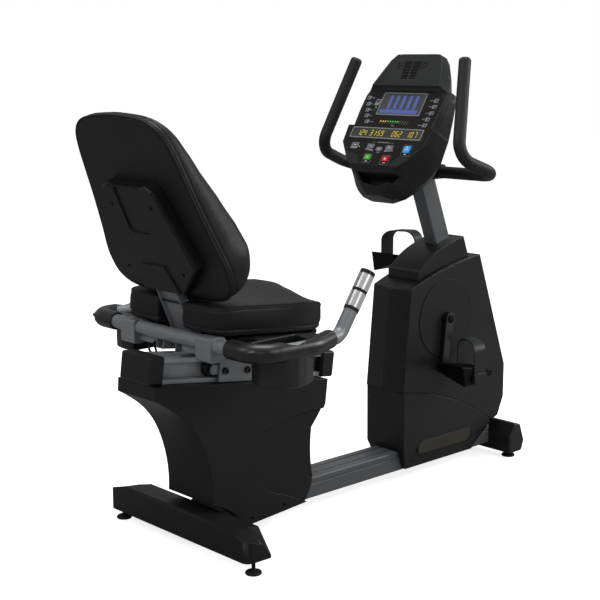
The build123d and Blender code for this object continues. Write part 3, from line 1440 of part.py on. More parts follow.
cover_screw = pan_screw(screw_head_d, 3, 4, boss_length - boss_floor - 1)
low_screw = pan_screw(screw_head_d, 2, 4, 2)
screws = [placed(cover_screw, (x, -shroud_half + boss_floor, z), (0, -1, 0)) for x, z in shroud_screws]
screws += [placed(low_screw, (x, -cover_screw_y + boss_floor, z), (0, -1, 0)) for x, z in cover_screw_places]
screws += [mirrored(screw) for screw in screws]
cover_screws = screws[0].fuse(*screws[1:])
save(cover_screws, "cover_screws")

plate_bolt = pan_screw(bolt_head_d, 7, bolt_shank_d, plate_t)
panel_screw = pan_screw(screw_head_d, 3, 4, 12)
bolts = [placed(plate_bolt, rail_point(along, side * (plate_y + plate_t), bolt_up), (0, side, 0))
         for along in bolt_along for side in (-1, 1)]
bolts += [placed(panel_screw, back.from_local_coords(Vector(side * y, up, boss_floor - plate_back)), -back.z_dir)
          for y, up in plate_screws for side in (-1, 1)]
seat_screws = bolts[0].fuse(*bolts[1:])
save(seat_screws, "seat_screws")
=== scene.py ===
"""Looks of the recumbent exercise bike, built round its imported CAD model.

Metres, +X forward, +Y to the left, +Z up."""
import json
from math import atan2, cos, exp, pi, radians, sin

import bmesh
import bpy
import numpy as np
from mathutils import Matrix, Vector, kdtree
from mathutils.bvhtree import BVHTree


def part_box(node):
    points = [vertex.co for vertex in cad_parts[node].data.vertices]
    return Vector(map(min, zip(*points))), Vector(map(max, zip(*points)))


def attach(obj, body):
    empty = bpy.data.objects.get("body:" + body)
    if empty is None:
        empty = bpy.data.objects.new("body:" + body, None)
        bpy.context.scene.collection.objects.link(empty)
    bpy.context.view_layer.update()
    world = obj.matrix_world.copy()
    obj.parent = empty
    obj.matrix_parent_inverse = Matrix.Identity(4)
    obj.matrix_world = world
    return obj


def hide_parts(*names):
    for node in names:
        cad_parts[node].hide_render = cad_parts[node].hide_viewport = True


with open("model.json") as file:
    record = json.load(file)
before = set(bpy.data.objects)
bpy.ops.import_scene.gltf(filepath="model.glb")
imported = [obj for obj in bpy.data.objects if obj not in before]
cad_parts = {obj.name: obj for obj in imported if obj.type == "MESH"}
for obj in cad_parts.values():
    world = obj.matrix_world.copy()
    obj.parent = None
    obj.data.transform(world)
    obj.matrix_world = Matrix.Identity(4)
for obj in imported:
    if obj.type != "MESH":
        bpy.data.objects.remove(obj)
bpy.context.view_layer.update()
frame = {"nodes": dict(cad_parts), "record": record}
nodes = frame["nodes"]
scene = bpy.context.scene


# ---------------------------------------------------------------- finishes
def new_finish(name):
    """An empty material; returns it, its node tree, its Principled shader and a node maker."""
    mat = bpy.data.materials.new(name)
    mat.use_nodes = True
    tree = mat.node_tree
    shader = tree.nodes["Principled BSDF"]

    def add(kind, **values):
        node = tree.nodes.new(kind)
        for key, value in values.items():
            if key in node.inputs.keys():
                node.inputs[key].default_value = value
            else:
                setattr(node, key, value)
        return node

    return mat, tree, shader, add


def soften(add, link, bump, radius):
    """Rounds the look of sharp edges under a bump."""
    edge = add("ShaderNodeBevel", Radius=radius)
    edge.samples = 6
    link(edge.outputs["Normal"], bump.inputs["Normal"])


def toned(add, link, shader, source, colour, dark, pale):
    """Shades the base colour between a darker and a paler tone by a texture."""
    tone = add("ShaderNodeMix", data_type="RGBA")
    tone.inputs["A"].default_value = (*[c * dark for c in colour], 1)
    tone.inputs["B"].default_value = (*[min(1, c * pale) for c in colour], 1)
    link(source, tone.inputs["Factor"])
    link(tone.outputs["Result"], shader.inputs["Base Color"])


def ranged(add, link, source, target, low, high):
    """Drives a shader value between two limits by a texture."""
    span = add("ShaderNodeMapRange", **{"To Min": low, "To Max": high})
    link(source, span.inputs["Value"])
    link(span.outputs["Result"], target)


MOTTLE = 0.16


def moulded(name, colour, rough=0.44, grain=1.0, specular=0.2, grain_scale=1500.0, edge=0.0014):
    """Moulded plastic with a fine spark-eroded grain and faint cloudiness in its gloss."""
    mat, tree, shader, add = new_finish(name)
    link = tree.links.new
    place = add("ShaderNodeTexCoord")
    cloud = add("ShaderNodeTexNoise", Scale=9.0, Detail=5.0, Roughness=0.6)
    link(place.outputs["Object"], cloud.inputs["Vector"])
    toned(add, link, shader, cloud.outputs["Fac"], colour, 1 - MOTTLE, 1 + MOTTLE)
    ranged(add, link, cloud.outputs["Fac"], shader.inputs["Roughness"], rough - 0.07, rough + 0.07)
    pits = add("ShaderNodeTexNoise", Scale=grain_scale, Detail=2.0, Roughness=0.55)
    link(place.outputs["Object"], pits.inputs["Vector"])
    bump = add("ShaderNodeBump", Strength=0.10 * grain, Distance=0.0004)
    link(pits.outputs["Fac"], bump.inputs["Height"])
    soften(add, link, bump, edge)
    link(bump.outputs["Normal"], shader.inputs["Normal"])
    shader.inputs["Specular IOR Level"].default_value = specular
    return mat


def powder_paint(name, colour):
    """Powder-coated steel: slight orange peel and a little metal fleck."""
    mat, tree, shader, add = new_finish(name)
    link = tree.links.new
    place = add("ShaderNodeTexCoord")
    peel = add("ShaderNodeTexNoise", Scale=420.0, Detail=3.0, Roughness=0.5)
    link(place.outputs["Object"], peel.inputs["Vector"])
    fleck = add("ShaderNodeTexVoronoi", Scale=2600.0)
    link(place.outputs["Object"], fleck.inputs["Vector"])
    toned(add, link, shader, fleck.outputs["Distance"], colour, 0.9, 1.25)
    bump = add("ShaderNodeBump", Strength=0.12, Distance=0.0005)
    link(peel.outputs["Fac"], bump.inputs["Height"])
    soften(add, link, bump, 0.0016)
    link(bump.outputs["Normal"], shader.inputs["Normal"])
    shader.inputs["Roughness"].default_value = 0.42
    shader.inputs["Metallic"].default_value = 0.25
    return mat


def turned_metal(name, colour, rough=0.3, streak=0.06):
    """Bare or plated metal with fine tooling streaks."""
    mat, tree, shader, add = new_finish(name)
    link = tree.links.new
    place = add("ShaderNodeTexCoord")
    stretch = add("ShaderNodeMapping", Scale=(30.0, 900.0, 900.0))
    link(place.outputs["Object"], stretch.inputs["Vector"])
    lines = add("ShaderNodeTexNoise", Scale=1.0, Detail=3.0)
    link(stretch.outputs["Vector"], lines.inputs["Vector"])
    ranged(add, link, lines.outputs["Fac"], shader.inputs["Roughness"], rough - streak, rough + streak)
    bump = add("ShaderNodeBump", Strength=0.03, Distance=0.0003)
    link(lines.outputs["Fac"], bump.inputs["Height"])
    link(bump.outputs["Normal"], shader.inputs["Normal"])
    shader.inputs["Base Color"].default_value = (*colour, 1)
    shader.inputs["Metallic"].default_value = 1.0
    return mat


def vinyl(name, colour, rough=0.42):
    """Upholstery vinyl: a pebbled grain of small cells with softer creases between them."""
    mat, tree, shader, add = new_finish(name)
    link = tree.links.new
    place = add("ShaderNodeTexCoord")
    warp = add("ShaderNodeTexNoise", Scale=160.0, Detail=2.0)
    link(place.outputs["Object"], warp.inputs["Vector"])
    cells = add("ShaderNodeTexVoronoi", Scale=620.0, feature="DISTANCE_TO_EDGE")
    mixed = add("ShaderNodeMix", data_type="VECTOR")
    mixed.inputs["Factor"].default_value = 0.012
    link(place.outputs["Object"], mixed.inputs["A"])
    link(warp.outputs["Color"], mixed.inputs["B"])
    link(mixed.outputs["Result"], cells.inputs["Vector"])
    soft = add("ShaderNodeMapRange", **{"From Max": 0.35})
    link(cells.outputs["Distance"], soft.inputs["Value"])
    cloud = add("ShaderNodeTexNoise", Scale=6.0, Detail=4.0, Roughness=0.6)
    link(place.outputs["Object"], cloud.inputs["Vector"])
    toned(add, link, shader, cloud.outputs["Fac"], colour, 0.8, 1.25)
    ranged(add, link, soft.outputs["Result"], shader.inputs["Roughness"], rough + 0.12, rough - 0.04)
    bump = add("ShaderNodeBump", Strength=0.22, Distance=0.0003)
    link(soft.outputs["Result"], bump.inputs["Height"])
    link(bump.outputs["Normal"], shader.inputs["Normal"])
    shader.inputs["Specular IOR Level"].default_value = 0.2
    return mat


BLACK = (0.0105, 0.0110, 0.0108)
shell_plastic = moulded("shell plastic", BLACK, edge=0.003)
housing_plastic = moulded("housing plastic", BLACK, rough=0.38, specular=0.3, edge=0.007)
badge_plastic = moulded("bare badge plastic", (0.036, 0.034, 0.028), rough=0.35)
rest_plastic = moulded("armrest plastic", BLACK, rough=0.34, specular=0.4, edge=0.003)
plate_plastic = moulded("back plate plastic", (0.0085, 0.0088, 0.0087), edge=0.003)
console_plastic = moulded("console plastic", (0.0165, 0.0175, 0.0172), rough=0.4, edge=0.003)
cap_plastic = moulded("end cap plastic", (0.014, 0.0145, 0.0145), rough=0.38)
disc_plastic = moulded("disc cover plastic", (0.013, 0.014, 0.0135), rough=0.5)
pan_plastic = moulded("seat pan plastic", (0.006, 0.006, 0.0062), rough=0.5)
pedal_plastic = moulded("pedal plastic", (0.0022, 0.0022, 0.0024), rough=0.5, specular=0.1)
strap_rubber = moulded("strap rubber", (0.016, 0.018, 0.020), rough=0.45)
grip_rubber = moulded("grip rubber", (0.017, 0.017, 0.019), rough=0.52, grain=1.6, grain_scale=900.0)
foot_rubber = moulded("levelling foot rubber", (0.012, 0.012, 0.012), rough=0.6)
frame_paint = powder_paint("graphite frame paint", (0.19, 0.20, 0.21))
mast_paint = powder_paint("mast paint", (0.090, 0.094, 0.100))
carriage_paint = powder_paint("carriage paint", (0.22, 0.23, 0.24))
rail_paint = powder_paint("rail paint", (0.34, 0.355, 0.37))
black_paint = powder_paint("black frame paint", (0.014, 0.014, 0.015))
crank_steel = turned_metal("crank black", (0.085, 0.08, 0.09), rough=0.36, streak=0.02)
bright_steel = turned_metal("machined steel", (0.5, 0.5, 0.5))
screw_steel = turned_metal("blackened screw", (0.05, 0.05, 0.05), rough=0.35)
pulse_steel = turned_metal("pulse plate steel", (0.78, 0.78, 0.78), rough=0.32, streak=0.02)
cast_metal = turned_metal("cast metal", (0.16, 0.16, 0.16), rough=0.5)
roller_nylon = moulded("roller nylon", (0.02, 0.02, 0.022), rough=0.35)
seat_vinyl = vinyl("cushion vinyl", (0.0105, 0.0103, 0.0122))
face_film = moulded("printed face film", (0.0105, 0.0085, 0.008), rough=0.3, grain=0.3)
window_frame = moulded("window frame grey", (0.16, 0.17, 0.17), rough=0.35)
key_green = moulded("green key", (0.07, 0.36, 0.025), rough=0.35, grain=0.3)
key_red = moulded("red key", (0.52, 0.008, 0.015), rough=0.35, grain=0.3)
key_blue = moulded("blue key", (0.03, 0.3, 0.72), rough=0.35, grain=0.3)
key_silver = moulded("silver key", (0.14, 0.145, 0.17), rough=0.35, grain=0.3)

NODE_FINISH = {
    frame_paint: ["seat_frame", "seat_post"],
    mast_paint: ["main_beam", "mast"],
    rail_paint: ["seat_rail"],
    carriage_paint: ["carriage"],
    black_paint: ["front_frame", "handlebar"],
    shell_plastic: ["rear_foot", "rear_shroud_left", "rear_shroud_right"],
    housing_plastic: ["front_shell_left", "front_shell_right", "front_lower_cover", "front_top_cover",
                      "front_foot"],
    rest_plastic: ["armrest_left", "armrest_right"],
    plate_plastic: ["back_plate"],
    console_plastic: ["console_back", "console_front", "handlebar_clamp"],
    cap_plastic: ["rail_caps", "pulse_grips", "seat_lever"],
    disc_plastic: ["crank_discs", "fan_rotor"],
    pan_plastic: ["seat_pan"],
    pedal_plastic: ["pedal_left", "pedal_right"],
    strap_rubber: ["pedal_strap_left", "pedal_strap_right", "drive_belt", "sensor_cables"],
    grip_rubber: ["handlebar_grips"],
    foot_rubber: ["leveller_rear_right", "leveller_rear_left", "leveller_front_right", "leveller_front_left"],
    crank_steel: ["crank_arms"],
    bright_steel: ["crank_axle", "crank_bearings"],
    screw_steel: ["cover_screws", "seat_screws"],
    pulse_steel: ["pulse_plates"],
    cast_metal: ["flywheel", "drive_pulley", "brake_magnet"],
    roller_nylon: ["roller_rear", "roller_front"],
    seat_vinyl: ["seat_pad", "back_pad"],
    face_film: ["console_face"],
    window_frame: ["display_windows"],
    key_green: ["start_key"],
    key_red: ["stop_key"],
    key_blue: ["fan_key"],
    key_silver: ["enter_key", "level_down_key", "level_up_key"],
}
for finish, names in NODE_FINISH.items():
    for name in names:
        nodes[name].data.materials.clear()
        nodes[name].data.materials.append(finish)

# ---------------------------------------------------------------- shaping helpers
BODIES = frame["record"]["behaviour"]["bodies"]
BODY_OF = {node: body for body, members in BODIES.items() for node in members}


def vec(*values):
    return np.array(values, float)


def settle(piece, node, replaces=False):
    """Puts a piece on the body of a CAD node, in place of the node if asked."""
    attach(piece, BODY_OF[node])
    if replaces:
        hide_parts(node)
    return piece


def smooth_loop(points, count, closed=True):
    """Even samples on a Catmull-Rom curve through the points."""
    pts = np.array(points, float)
    n = len(pts)
    dense = []
    for i in range(n if closed else n - 1):
        if closed:
            p0, p1, p2, p3 = pts[i - 1], pts[i], pts[(i + 1) % n], pts[(i + 2) % n]
        else:
            p0, p1, p2, p3 = pts[max(i - 1, 0)], pts[i], pts[i + 1], pts[min(i + 2, n - 1)]
        for t in np.linspace(0, 1, 24, endpoint=False):
            dense.append(0.5 * (2 * p1 + (p2 - p0) * t + (2 * p0 - 5 * p1 + 4 * p2 - p3) * t ** 2
                                + (3 * p1 - p0 - 3 * p2 + p3) * t ** 3))
    dense.append(pts[0] if closed else pts[-1])
    return even(dense, count, closed)


def even(line, count, closed=False):
    """The line resampled at `count` evenly spaced points."""
    line = np.array(line, float)
    run = np.concatenate([[0], np.cumsum(np.linalg.norm(np.diff(line, axis=0), axis=1))])
    at = np.linspace(0, run[-1], count, endpoint=not closed)
    return np.stack([np.interp(at, run, line[:, k]) for k in range(line.shape[1])], 1)


def looked_up(table, place):
    """The value of a table of pairs at a place, straight between its rows."""
    return np.interp(place, *zip(*table))


def both_sides(half):
    """Closed outline from the half with first coordinate >= 0, listed from one end to the other."""
    return list(half) + [(-a, b) for a, b in reversed(half) if a > 0]


def new_mesh(name, verts, faces, material, smooth=True):
    """A mesh object at the origin with its normals pointing outwards."""
    mesh = bpy.data.meshes.new(name)
    mesh.from_pydata([tuple(v) for v in verts], [], faces)
    shape = bmesh.new()
    shape.from_mesh(mesh)
    bmesh.ops.remove_doubles(shape, verts=shape.verts, dist=1e-6)
    bmesh.ops.recalc_face_normals(shape, faces=shape.faces)
    shape.to_mesh(mesh)
    shape.free()
    if smooth:
        mesh.shade_smooth()
    mesh.materials.append(material)
    made = bpy.data.objects.new(name, mesh)
    scene.collection.objects.link(made)
    return made


def band_faces(rings, count):
    """Quads between consecutive rings of `count` points."""
    return [(r * count + k, r * count + (k + 1) % count, (r + 1) * count + (k + 1) % count, (r + 1) * count + k)
            for r in range(rings - 1) for k in range(count)]


def ring_faces(rings, count):
    """Quads between consecutive rings, closed at both ends by a fan to a pole."""
    faces = band_faces(rings, count)
    first, last = rings * count, rings * count + 1
    for k in range(count):
        faces.append((first, (k + 1) % count, k))
        faces.append((last, (rings - 1) * count + k, (rings - 1) * count + (k + 1) % count))
    return faces


def tube_loop(name, path, radius, material, sides=8):
    """A round tube along a closed loop of points."""
    pts = np.array(path, float)
    n = len(pts)
    tangent = np.roll(pts, -1, 0) - np.roll(pts, 1, 0)
    tangent /= np.linalg.norm(tangent, axis=1)[:, None]
    normal = np.cross(tangent[0], (0.31, 0.17, 0.93))
    verts = []
    for i in range(n):
        normal = normal - tangent[i] * np.dot(normal, tangent[i])
        normal /= np.linalg.norm(normal)
        side = np.cross(tangent[i], normal)
        for k in range(sides):
            angle = 2 * pi * k / sides
            verts.append(pts[i] + radius * (cos(angle) * normal + sin(angle) * side))
    faces = [tuple(corner % (n * sides) for corner in face) for face in band_faces(n + 1, sides)]
    return new_mesh(name, verts, faces, material)


def baked(piece):
    """Applies every modifier of a piece to its mesh."""
    bpy.context.view_layer.update()
    ready = bpy.data.meshes.new_from_object(piece.evaluated_get(bpy.context.evaluated_depsgraph_get()))
    piece.modifiers.clear()
    piece.data = ready
    return piece


def coords(piece):
    """The points of a mesh as an array."""
    flat = np.empty(len(piece.data.vertices) * 3)
    piece.data.vertices.foreach_get("co", flat)
    return flat.reshape(-1, 3)


def move_to(piece, points):
    piece.data.vertices.foreach_set("co", np.asarray(points, float).ravel())
    piece.data.update()


def normals(piece):
    flat = np.empty(len(piece.data.vertices) * 3)
    piece.data.vertex_normals.foreach_get("vector", flat)
    return flat.reshape(-1, 3)


def merged_copy(node, name, material):
    """A copy of a CAD node as clean welded faces, ready for bevels."""
    mesh = nodes[node].data.copy()
    mesh.name = name
    shape = bmesh.new()
    shape.from_mesh(mesh)
    bmesh.ops.remove_doubles(shape, verts=shape.verts, dist=2e-5)
    bmesh.ops.dissolve_limit(shape, angle_limit=radians(0.6), verts=shape.verts, edges=shape.edges)
    shape.to_mesh(mesh)
    shape.free()
    mesh.materials.clear()
    mesh.materials.append(material)
    made = bpy.data.objects.new(name, mesh)
    scene.collection.objects.link(made)
    return made


def smoothed(node, angle=32):
    """A CAD node with its curved faces shaded as curves, standing in for it."""
    made = merged_copy(node, node + "_smooth", nodes[node].data.materials[0])
    made.data.shade_smooth()
    made.data.set_sharp_from_angle(angle=radians(angle))
    weigh = made.modifiers.new("weigh", "WEIGHTED_NORMAL")
    weigh.keep_sharp = True
    baked(made)
    return settle(made, node, replaces=True)


def refined(piece):
    """One round of subdivision, applied to the mesh."""
    finer = piece.modifiers.new("fine", "SUBSURF")
    finer.levels = finer.render_levels = 1
    return baked(piece)


def remeshed(piece, size):
    """The piece as one even skin of `size` quads."""
    voxels = piece.modifiers.new("even", "REMESH")
    voxels.mode = "VOXEL"
    voxels.voxel_size = size
    voxels.use_smooth_shade = True
    return baked(piece)


def puffed(piece, hold, cap, pressure=4.0, frames=20, calm=40):
    """Fills a cushion with air as cloth under pressure, held where `hold` says.

    No point moves more than `cap`, and `calm` rounds of averaging take out the small creases."""
    before = coords(piece)
    group = piece.vertex_groups.new(name="held")
    for index, share in enumerate(hold(before)):
        if share > 0:
            group.add([index], float(share), "REPLACE")
    cloth = piece.modifiers.new("air", "CLOTH")
    cloth.settings.quality = 5
    cloth.settings.mass = 0.3
    cloth.settings.tension_stiffness = 15
    cloth.settings.compression_stiffness = 15
    cloth.settings.bending_stiffness = 2.0
    cloth.settings.use_pressure = True
    cloth.settings.uniform_pressure_force = pressure
    cloth.settings.effector_weights.gravity = 0
    cloth.settings.vertex_group_mass = "held"
    cloth.settings.pin_stiffness = 1.0
    cloth.point_cache.frame_start = 1
    cloth.point_cache.frame_end = frames
    for step in range(1, frames + 1):
        scene.frame_set(step)
    after = bpy.data.meshes.new_from_object(piece.evaluated_get(bpy.context.evaluated_depsgraph_get()))
    flat = np.empty(len(after.vertices) * 3)
    after.vertices.foreach_get("co", flat)
    moved = flat.reshape(-1, 3) - before
    length = np.linalg.norm(moved, axis=1)
    moved *= np.minimum(1.0, cap / np.maximum(length, 1e-9))[:, None]
    piece.modifiers.clear()
    bpy.data.meshes.remove(after)
    scene.frame_set(1)
    ends = np.empty(len(piece.data.edges) * 2, int)
    piece.data.edges.foreach_get("vertices", ends)
    first, last = ends.reshape(-1, 2).T
    count = np.bincount(ends, minlength=len(before))[:, None]
    for _ in range(calm):
        near = np.zeros_like(moved)
        np.add.at(near, first, moved[last])
        np.add.at(near, last, moved[first])
        moved = 0.5 * moved + 0.5 * near / count
    move_to(piece, before + moved)


def sewn(piece, line, depth, width):
    """Draws the skin in along a seam, given as dense points near the skin."""
    tree = kdtree.KDTree(len(line))
    for index, point in enumerate(line):
        tree.insert(point, index)
    tree.balance()
    points, out = coords(piece), normals(piece)
    for index, point in enumerate(points):
        away = tree.find(point)[2]
        if away < 3 * width:
            points[index] = point - out[index] * depth * exp(-(away / width) ** 2)
    move_to(piece, points)


def on_skin(piece, line, lift=0.0):
    """The closed line laid on the skin of a piece, raised by `lift`, with its points spread evenly."""
    skin = BVHTree.FromObject(piece, bpy.context.evaluated_depsgraph_get())
    laid = []
    for point in line:
        place, out, _, _ = skin.find_nearest(Vector(point))
        laid.append(place + out * lift)
    laid = np.array(laid)
    for _ in range(3):
        laid = (np.roll(laid, 1, 0) + laid + np.roll(laid, -1, 0)) / 3
    return even(np.vstack([laid, laid[:1]]), len(line), closed=True)
# ---------------------------------------------------------------- back cushion
def plane_point(origin, along, across_axis, out):
    """Turns two in-plane distances and a rise into a point, for a plane given by its origin and axes."""
    return lambda a, b, c: origin + vec(*across_axis) * a + along * b + out * c


PIPING_RADIUS = 0.0024
BACK_TILT = radians(23.0)
BACK_ORIGIN = vec(-0.546, 0, 0.585)
BACK_NORMAL = vec(cos(BACK_TILT), 0, sin(BACK_TILT))
back_point = plane_point(BACK_ORIGIN, vec(-sin(BACK_TILT), 0, cos(BACK_TILT)), (0, 1, 0), BACK_NORMAL)
BACK_BASE = 0.027
BACK_HALF = [(0, 0.092), (0.10, 0.0925), (0.155, 0.098), (0.203, 0.110), (0.234, 0.133), (0.246, 0.167),
             (0.2465, 0.205), (0.232, 0.27), (0.217, 0.35), (0.206, 0.43), (0.196, 0.50), (0.181, 0.547),
             (0.152, 0.577), (0.11, 0.592), (0.05, 0.5985), (0, 0.600)]
BACK_THICK = [(0.09, 0.066), (0.12, 0.080), (0.16, 0.098), (0.21, 0.112), (0.27, 0.111), (0.35, 0.097),
              (0.43, 0.076), (0.50, 0.062), (0.55, 0.054), (0.60, 0.045)]
BACK_MIDDLE = vec(0, 0.33)
BACK_COUNT = 150


def back_rim(scale, lift, share=0.0, count=BACK_COUNT):
    """The outline of the back cushion, scaled and lifted off its rear panel."""
    ring = []
    for p in smooth_loop(both_sides(BACK_HALF), count):
        q = BACK_MIDDLE + (p - BACK_MIDDLE) * scale
        ring.append(back_point(*q, BACK_BASE + lift + share * looked_up(BACK_THICK, q[1])))
    return ring


rings = [back_rim(scale, 0.0004) for scale in (0.2, 0.45, 0.65, 0.8, 0.9, 0.96, 0.985)]
rings += [back_rim(scale, lift, share) for scale, lift, share in (
    (1.0, 0.004, 0), (1.004, 0.009, 0), (1.004, 0.014, 0), (1.008, 0.018, 0), (1.010, 0.016, 0.10),
    (1.012, 0.012, 0.24), (1.011, 0.008, 0.40), (1.006, 0.004, 0.55), (0.996, 0, 0.68), (0.980, 0, 0.79),
    (0.955, 0, 0.87), (0.92, 0, 0.925), (0.87, 0, 0.965), (0.79, 0, 0.99), (0.68, 0, 1.01), (0.53, 0, 1.03),
    (0.36, 0, 1.045), (0.18, 0, 1.05))]
verts = [v for ring in rings for v in ring]
verts += [back_point(*BACK_MIDDLE, BACK_BASE + 0.0004),
          back_point(*BACK_MIDDLE, BACK_BASE + 1.05 * looked_up(BACK_THICK, BACK_MIDDLE[1]))]
back_cushion = new_mesh("back_cushion", verts, ring_faces(len(rings), BACK_COUNT), seat_vinyl)
remeshed(back_cushion, 0.0055)


def back_hold(points):
    """The rear panel and the seam round it are tacked down; the rest is free."""
    off = (points - BACK_ORIGIN) @ BACK_NORMAL
    return np.clip((BACK_BASE + 0.026 - off) / 0.012, 0, 1)


puffed(back_cushion, back_hold, cap=0.006)
refined(back_cushion)
sewn(back_cushion, back_rim(1.006, 0.0165, count=900), 0.0022, 0.0022)
sewn(back_cushion, back_rim(1.0, 0.0072, count=900), 0.0012, 0.0020)
settle(back_cushion, "back_pad", replaces=True)
welt = tube_loop("back_welt", back_rim(1.001, 0.0036, count=240), PIPING_RADIUS, seat_vinyl)
settle(welt, "back_pad")

# ---------------------------------------------------------------- seat cushion
SEAT_TILT = radians(5.0)
SEAT_ORIGIN = vec(-0.406, 0, 0.591)
SEAT_NORMAL = vec(sin(SEAT_TILT), 0, cos(SEAT_TILT))
seat_point = plane_point(SEAT_ORIGIN, vec(cos(SEAT_TILT), 0, -sin(SEAT_TILT)), (0, 1, 0), SEAT_NORMAL)
SEAT_HALF = [(0, -0.182), (0.09, -0.182), (0.150, -0.181), (0.183, -0.174), (0.201, -0.155), (0.207, -0.120),
             (0.2125, -0.05), (0.214, 0.02), (0.214, 0.09), (0.209, 0.138), (0.193, 0.172), (0.163, 0.205),
             (0.124, 0.238), (0.083, 0.264), (0.042, 0.281), (0, 0.286)]
SEAT_EDGE = [(-0.18, 0.068), (-0.15, 0.075), (-0.10, 0.078), (0.08, 0.079), (0.15, 0.078), (0.175, 0.073),
             (0.205, 0.060), (0.24, 0.044), (0.268, 0.034), (0.29, 0.028)]
SEAT_CROWN = [(-0.18, 0.004), (-0.10, 0.002), (0.0, 0.007), (0.06, 0.015), (0.11, 0.028), (0.15, 0.041),
              (0.19, 0.051), (0.215, 0.052), (0.24, 0.046), (0.262, 0.030), (0.29, 0.006)]
SEAT_MIDDLE = vec(0, 0.04)
SEAT_COUNT = 160


def seat_rim(scale, rise, crown=0.0, count=SEAT_COUNT):
    """The outline of the seat cushion, scaled, at a share of its edge height and of its crown."""
    ring = []
    for p in smooth_loop(both_sides(SEAT_HALF), count):
        q = SEAT_MIDDLE + (p - SEAT_MIDDLE) * scale
        ring.append(seat_point(*q, rise * looked_up(SEAT_EDGE, q[1]) + crown * looked_up(SEAT_CROWN, q[1])))
    return ring


rings = [seat_rim(scale, 0.0) for scale in (0.2, 0.45, 0.65, 0.8, 0.9, 0.95)]
rings += [seat_rim(*station) for station in (
    (0.978, 0.02, 0), (0.992, 0.10, 0), (0.994, 0.20, 0), (1.001, 0.32, 0), (1.004, 0.48, 0),
    (1.004, 0.64, 0), (1.004, 0.78, 0), (1.002, 0.90, 0), (0.997, 0.97, 0), (0.986, 1.0, 0),
    (0.955, 1.0, 0), (0.92, 1.0, 0.01), (0.86, 1.0, 0.04), (0.77, 1.0, 0.14), (0.65, 1.0, 0.38),
    (0.5, 1.0, 0.72), (0.34, 1.0, 0.92), (0.17, 1.0, 1.0))]
verts = [v for ring in rings for v in ring]
verts += [seat_point(*SEAT_MIDDLE, 0.0),
          seat_point(*SEAT_MIDDLE, 0.078 + looked_up(SEAT_CROWN, SEAT_MIDDLE[1]))]
seat_cushion = new_mesh("seat_cushion", verts, ring_faces(len(rings), SEAT_COUNT), seat_vinyl)
notch_loop = smooth_loop([(0.04, -0.30), (0.05, -0.28), (0.05, -0.14), (0.049, -0.115), (0.036, -0.106),
                          (-0.036, -0.106), (-0.049, -0.115), (-0.05, -0.14), (-0.05, -0.28),
                          (-0.04, -0.30)], 60)
notch = new_mesh("notch", [seat_point(a, b, c) for c in (-0.05, 0.15) for a, b in notch_loop]
                 + [seat_point(0, -0.2, -0.05), seat_point(0, -0.2, 0.15)], ring_faces(2, 60), seat_vinyl)
cut = seat_cushion.modifiers.new("notch", "BOOLEAN")
cut.operation = "DIFFERENCE"
cut.solver = "EXACT"
cut.object = notch
baked(seat_cushion)
bpy.data.objects.remove(notch)
remeshed(seat_cushion, 0.005)


def seat_hold(points):
    """The bottom, the lower band and the notch are tacked down."""
    local = points - SEAT_ORIGIN
    up = local @ SEAT_NORMAL
    in_notch = (np.abs(local[:, 1]) < 0.062) & (local[:, 0] < -0.09)
    return np.maximum(np.clip((0.024 - up) / 0.010, 0, 1), in_notch * 1.0)


puffed(seat_cushion, seat_hold, cap=0.003)
refined(seat_cushion)
sewn(seat_cushion, seat_rim(0.992, 0.20, count=900), 0.0028, 0.0026)
sewn(seat_cushion, seat_rim(0.998, 0.86, count=900), 0.0014, 0.0018)
for a, b in ((-0.193, -0.170), (0.193, -0.170)):
    sewn(seat_cushion, even([seat_point(a, b, c) for c in (0.012, 0.04, 0.066)], 80), 0.0022, 0.0022)
settle(seat_cushion, "seat_pad", replaces=True)
piping = tube_loop("seat_piping", on_skin(seat_cushion, seat_rim(0.995, 0.985, count=260), 0.0008),
                   PIPING_RADIUS, seat_vinyl)
settle(piping, "seat_pad")


# ---------------------------------------------------------------- repeated details
def repeated(name, shape, places, turn, material, size=1.0):
    """One copy of a small shape at each place, all turned alike, as one plain mesh."""
    tree = bpy.data.node_groups.new(name + " repeat", "GeometryNodeTree")
    face = tree.interface
    face.new_socket("Places", in_out="INPUT", socket_type="NodeSocketGeometry")
    face.new_socket("Shape", in_out="INPUT", socket_type="NodeSocketObject")
    face.new_socket("Turn", in_out="INPUT", socket_type="NodeSocketVector")
    face.new_socket("Size", in_out="INPUT", socket_type="NodeSocketFloat")
    face.new_socket("Result", in_out="OUTPUT", socket_type="NodeSocketGeometry")
    entry, result = tree.nodes.new("NodeGroupInput"), tree.nodes.new("NodeGroupOutput")
    info = tree.nodes.new("GeometryNodeObjectInfo")
    copies = tree.nodes.new("GeometryNodeInstanceOnPoints")
    solid = tree.nodes.new("GeometryNodeRealizeInstances")
    finish = tree.nodes.new("GeometryNodeSetMaterial")
    finish.inputs["Material"].default_value = material
    link = tree.links.new
    link(entry.outputs["Shape"], info.inputs["Object"])
    link(entry.outputs["Places"], copies.inputs["Points"])
    link(info.outputs["Geometry"], copies.inputs["Instance"])
    link(entry.outputs["Turn"], copies.inputs["Rotation"])
    link(entry.outputs["Size"], copies.inputs["Scale"])
    link(copies.outputs["Instances"], solid.inputs["Geometry"])
    link(solid.outputs["Geometry"], finish.inputs["Geometry"])
    link(finish.outputs["Geometry"], result.inputs["Result"])
    mesh = bpy.data.meshes.new(name)
    mesh.from_pydata([tuple(p) for p in places], [], [])
    made = bpy.data.objects.new(name, mesh)
    scene.collection.objects.link(made)
    modifier = made.modifiers.new("repeat", "NODES")
    modifier.node_group = tree
    for socket in face.items_tree:
        if socket.in_out == "INPUT" and socket.name != "Places":
            modifier[socket.identifier] = {"Shape": shape, "Turn": tuple(turn), "Size": size}[socket.name]
    baked(made)
    bpy.data.objects.remove(shape)
    return made


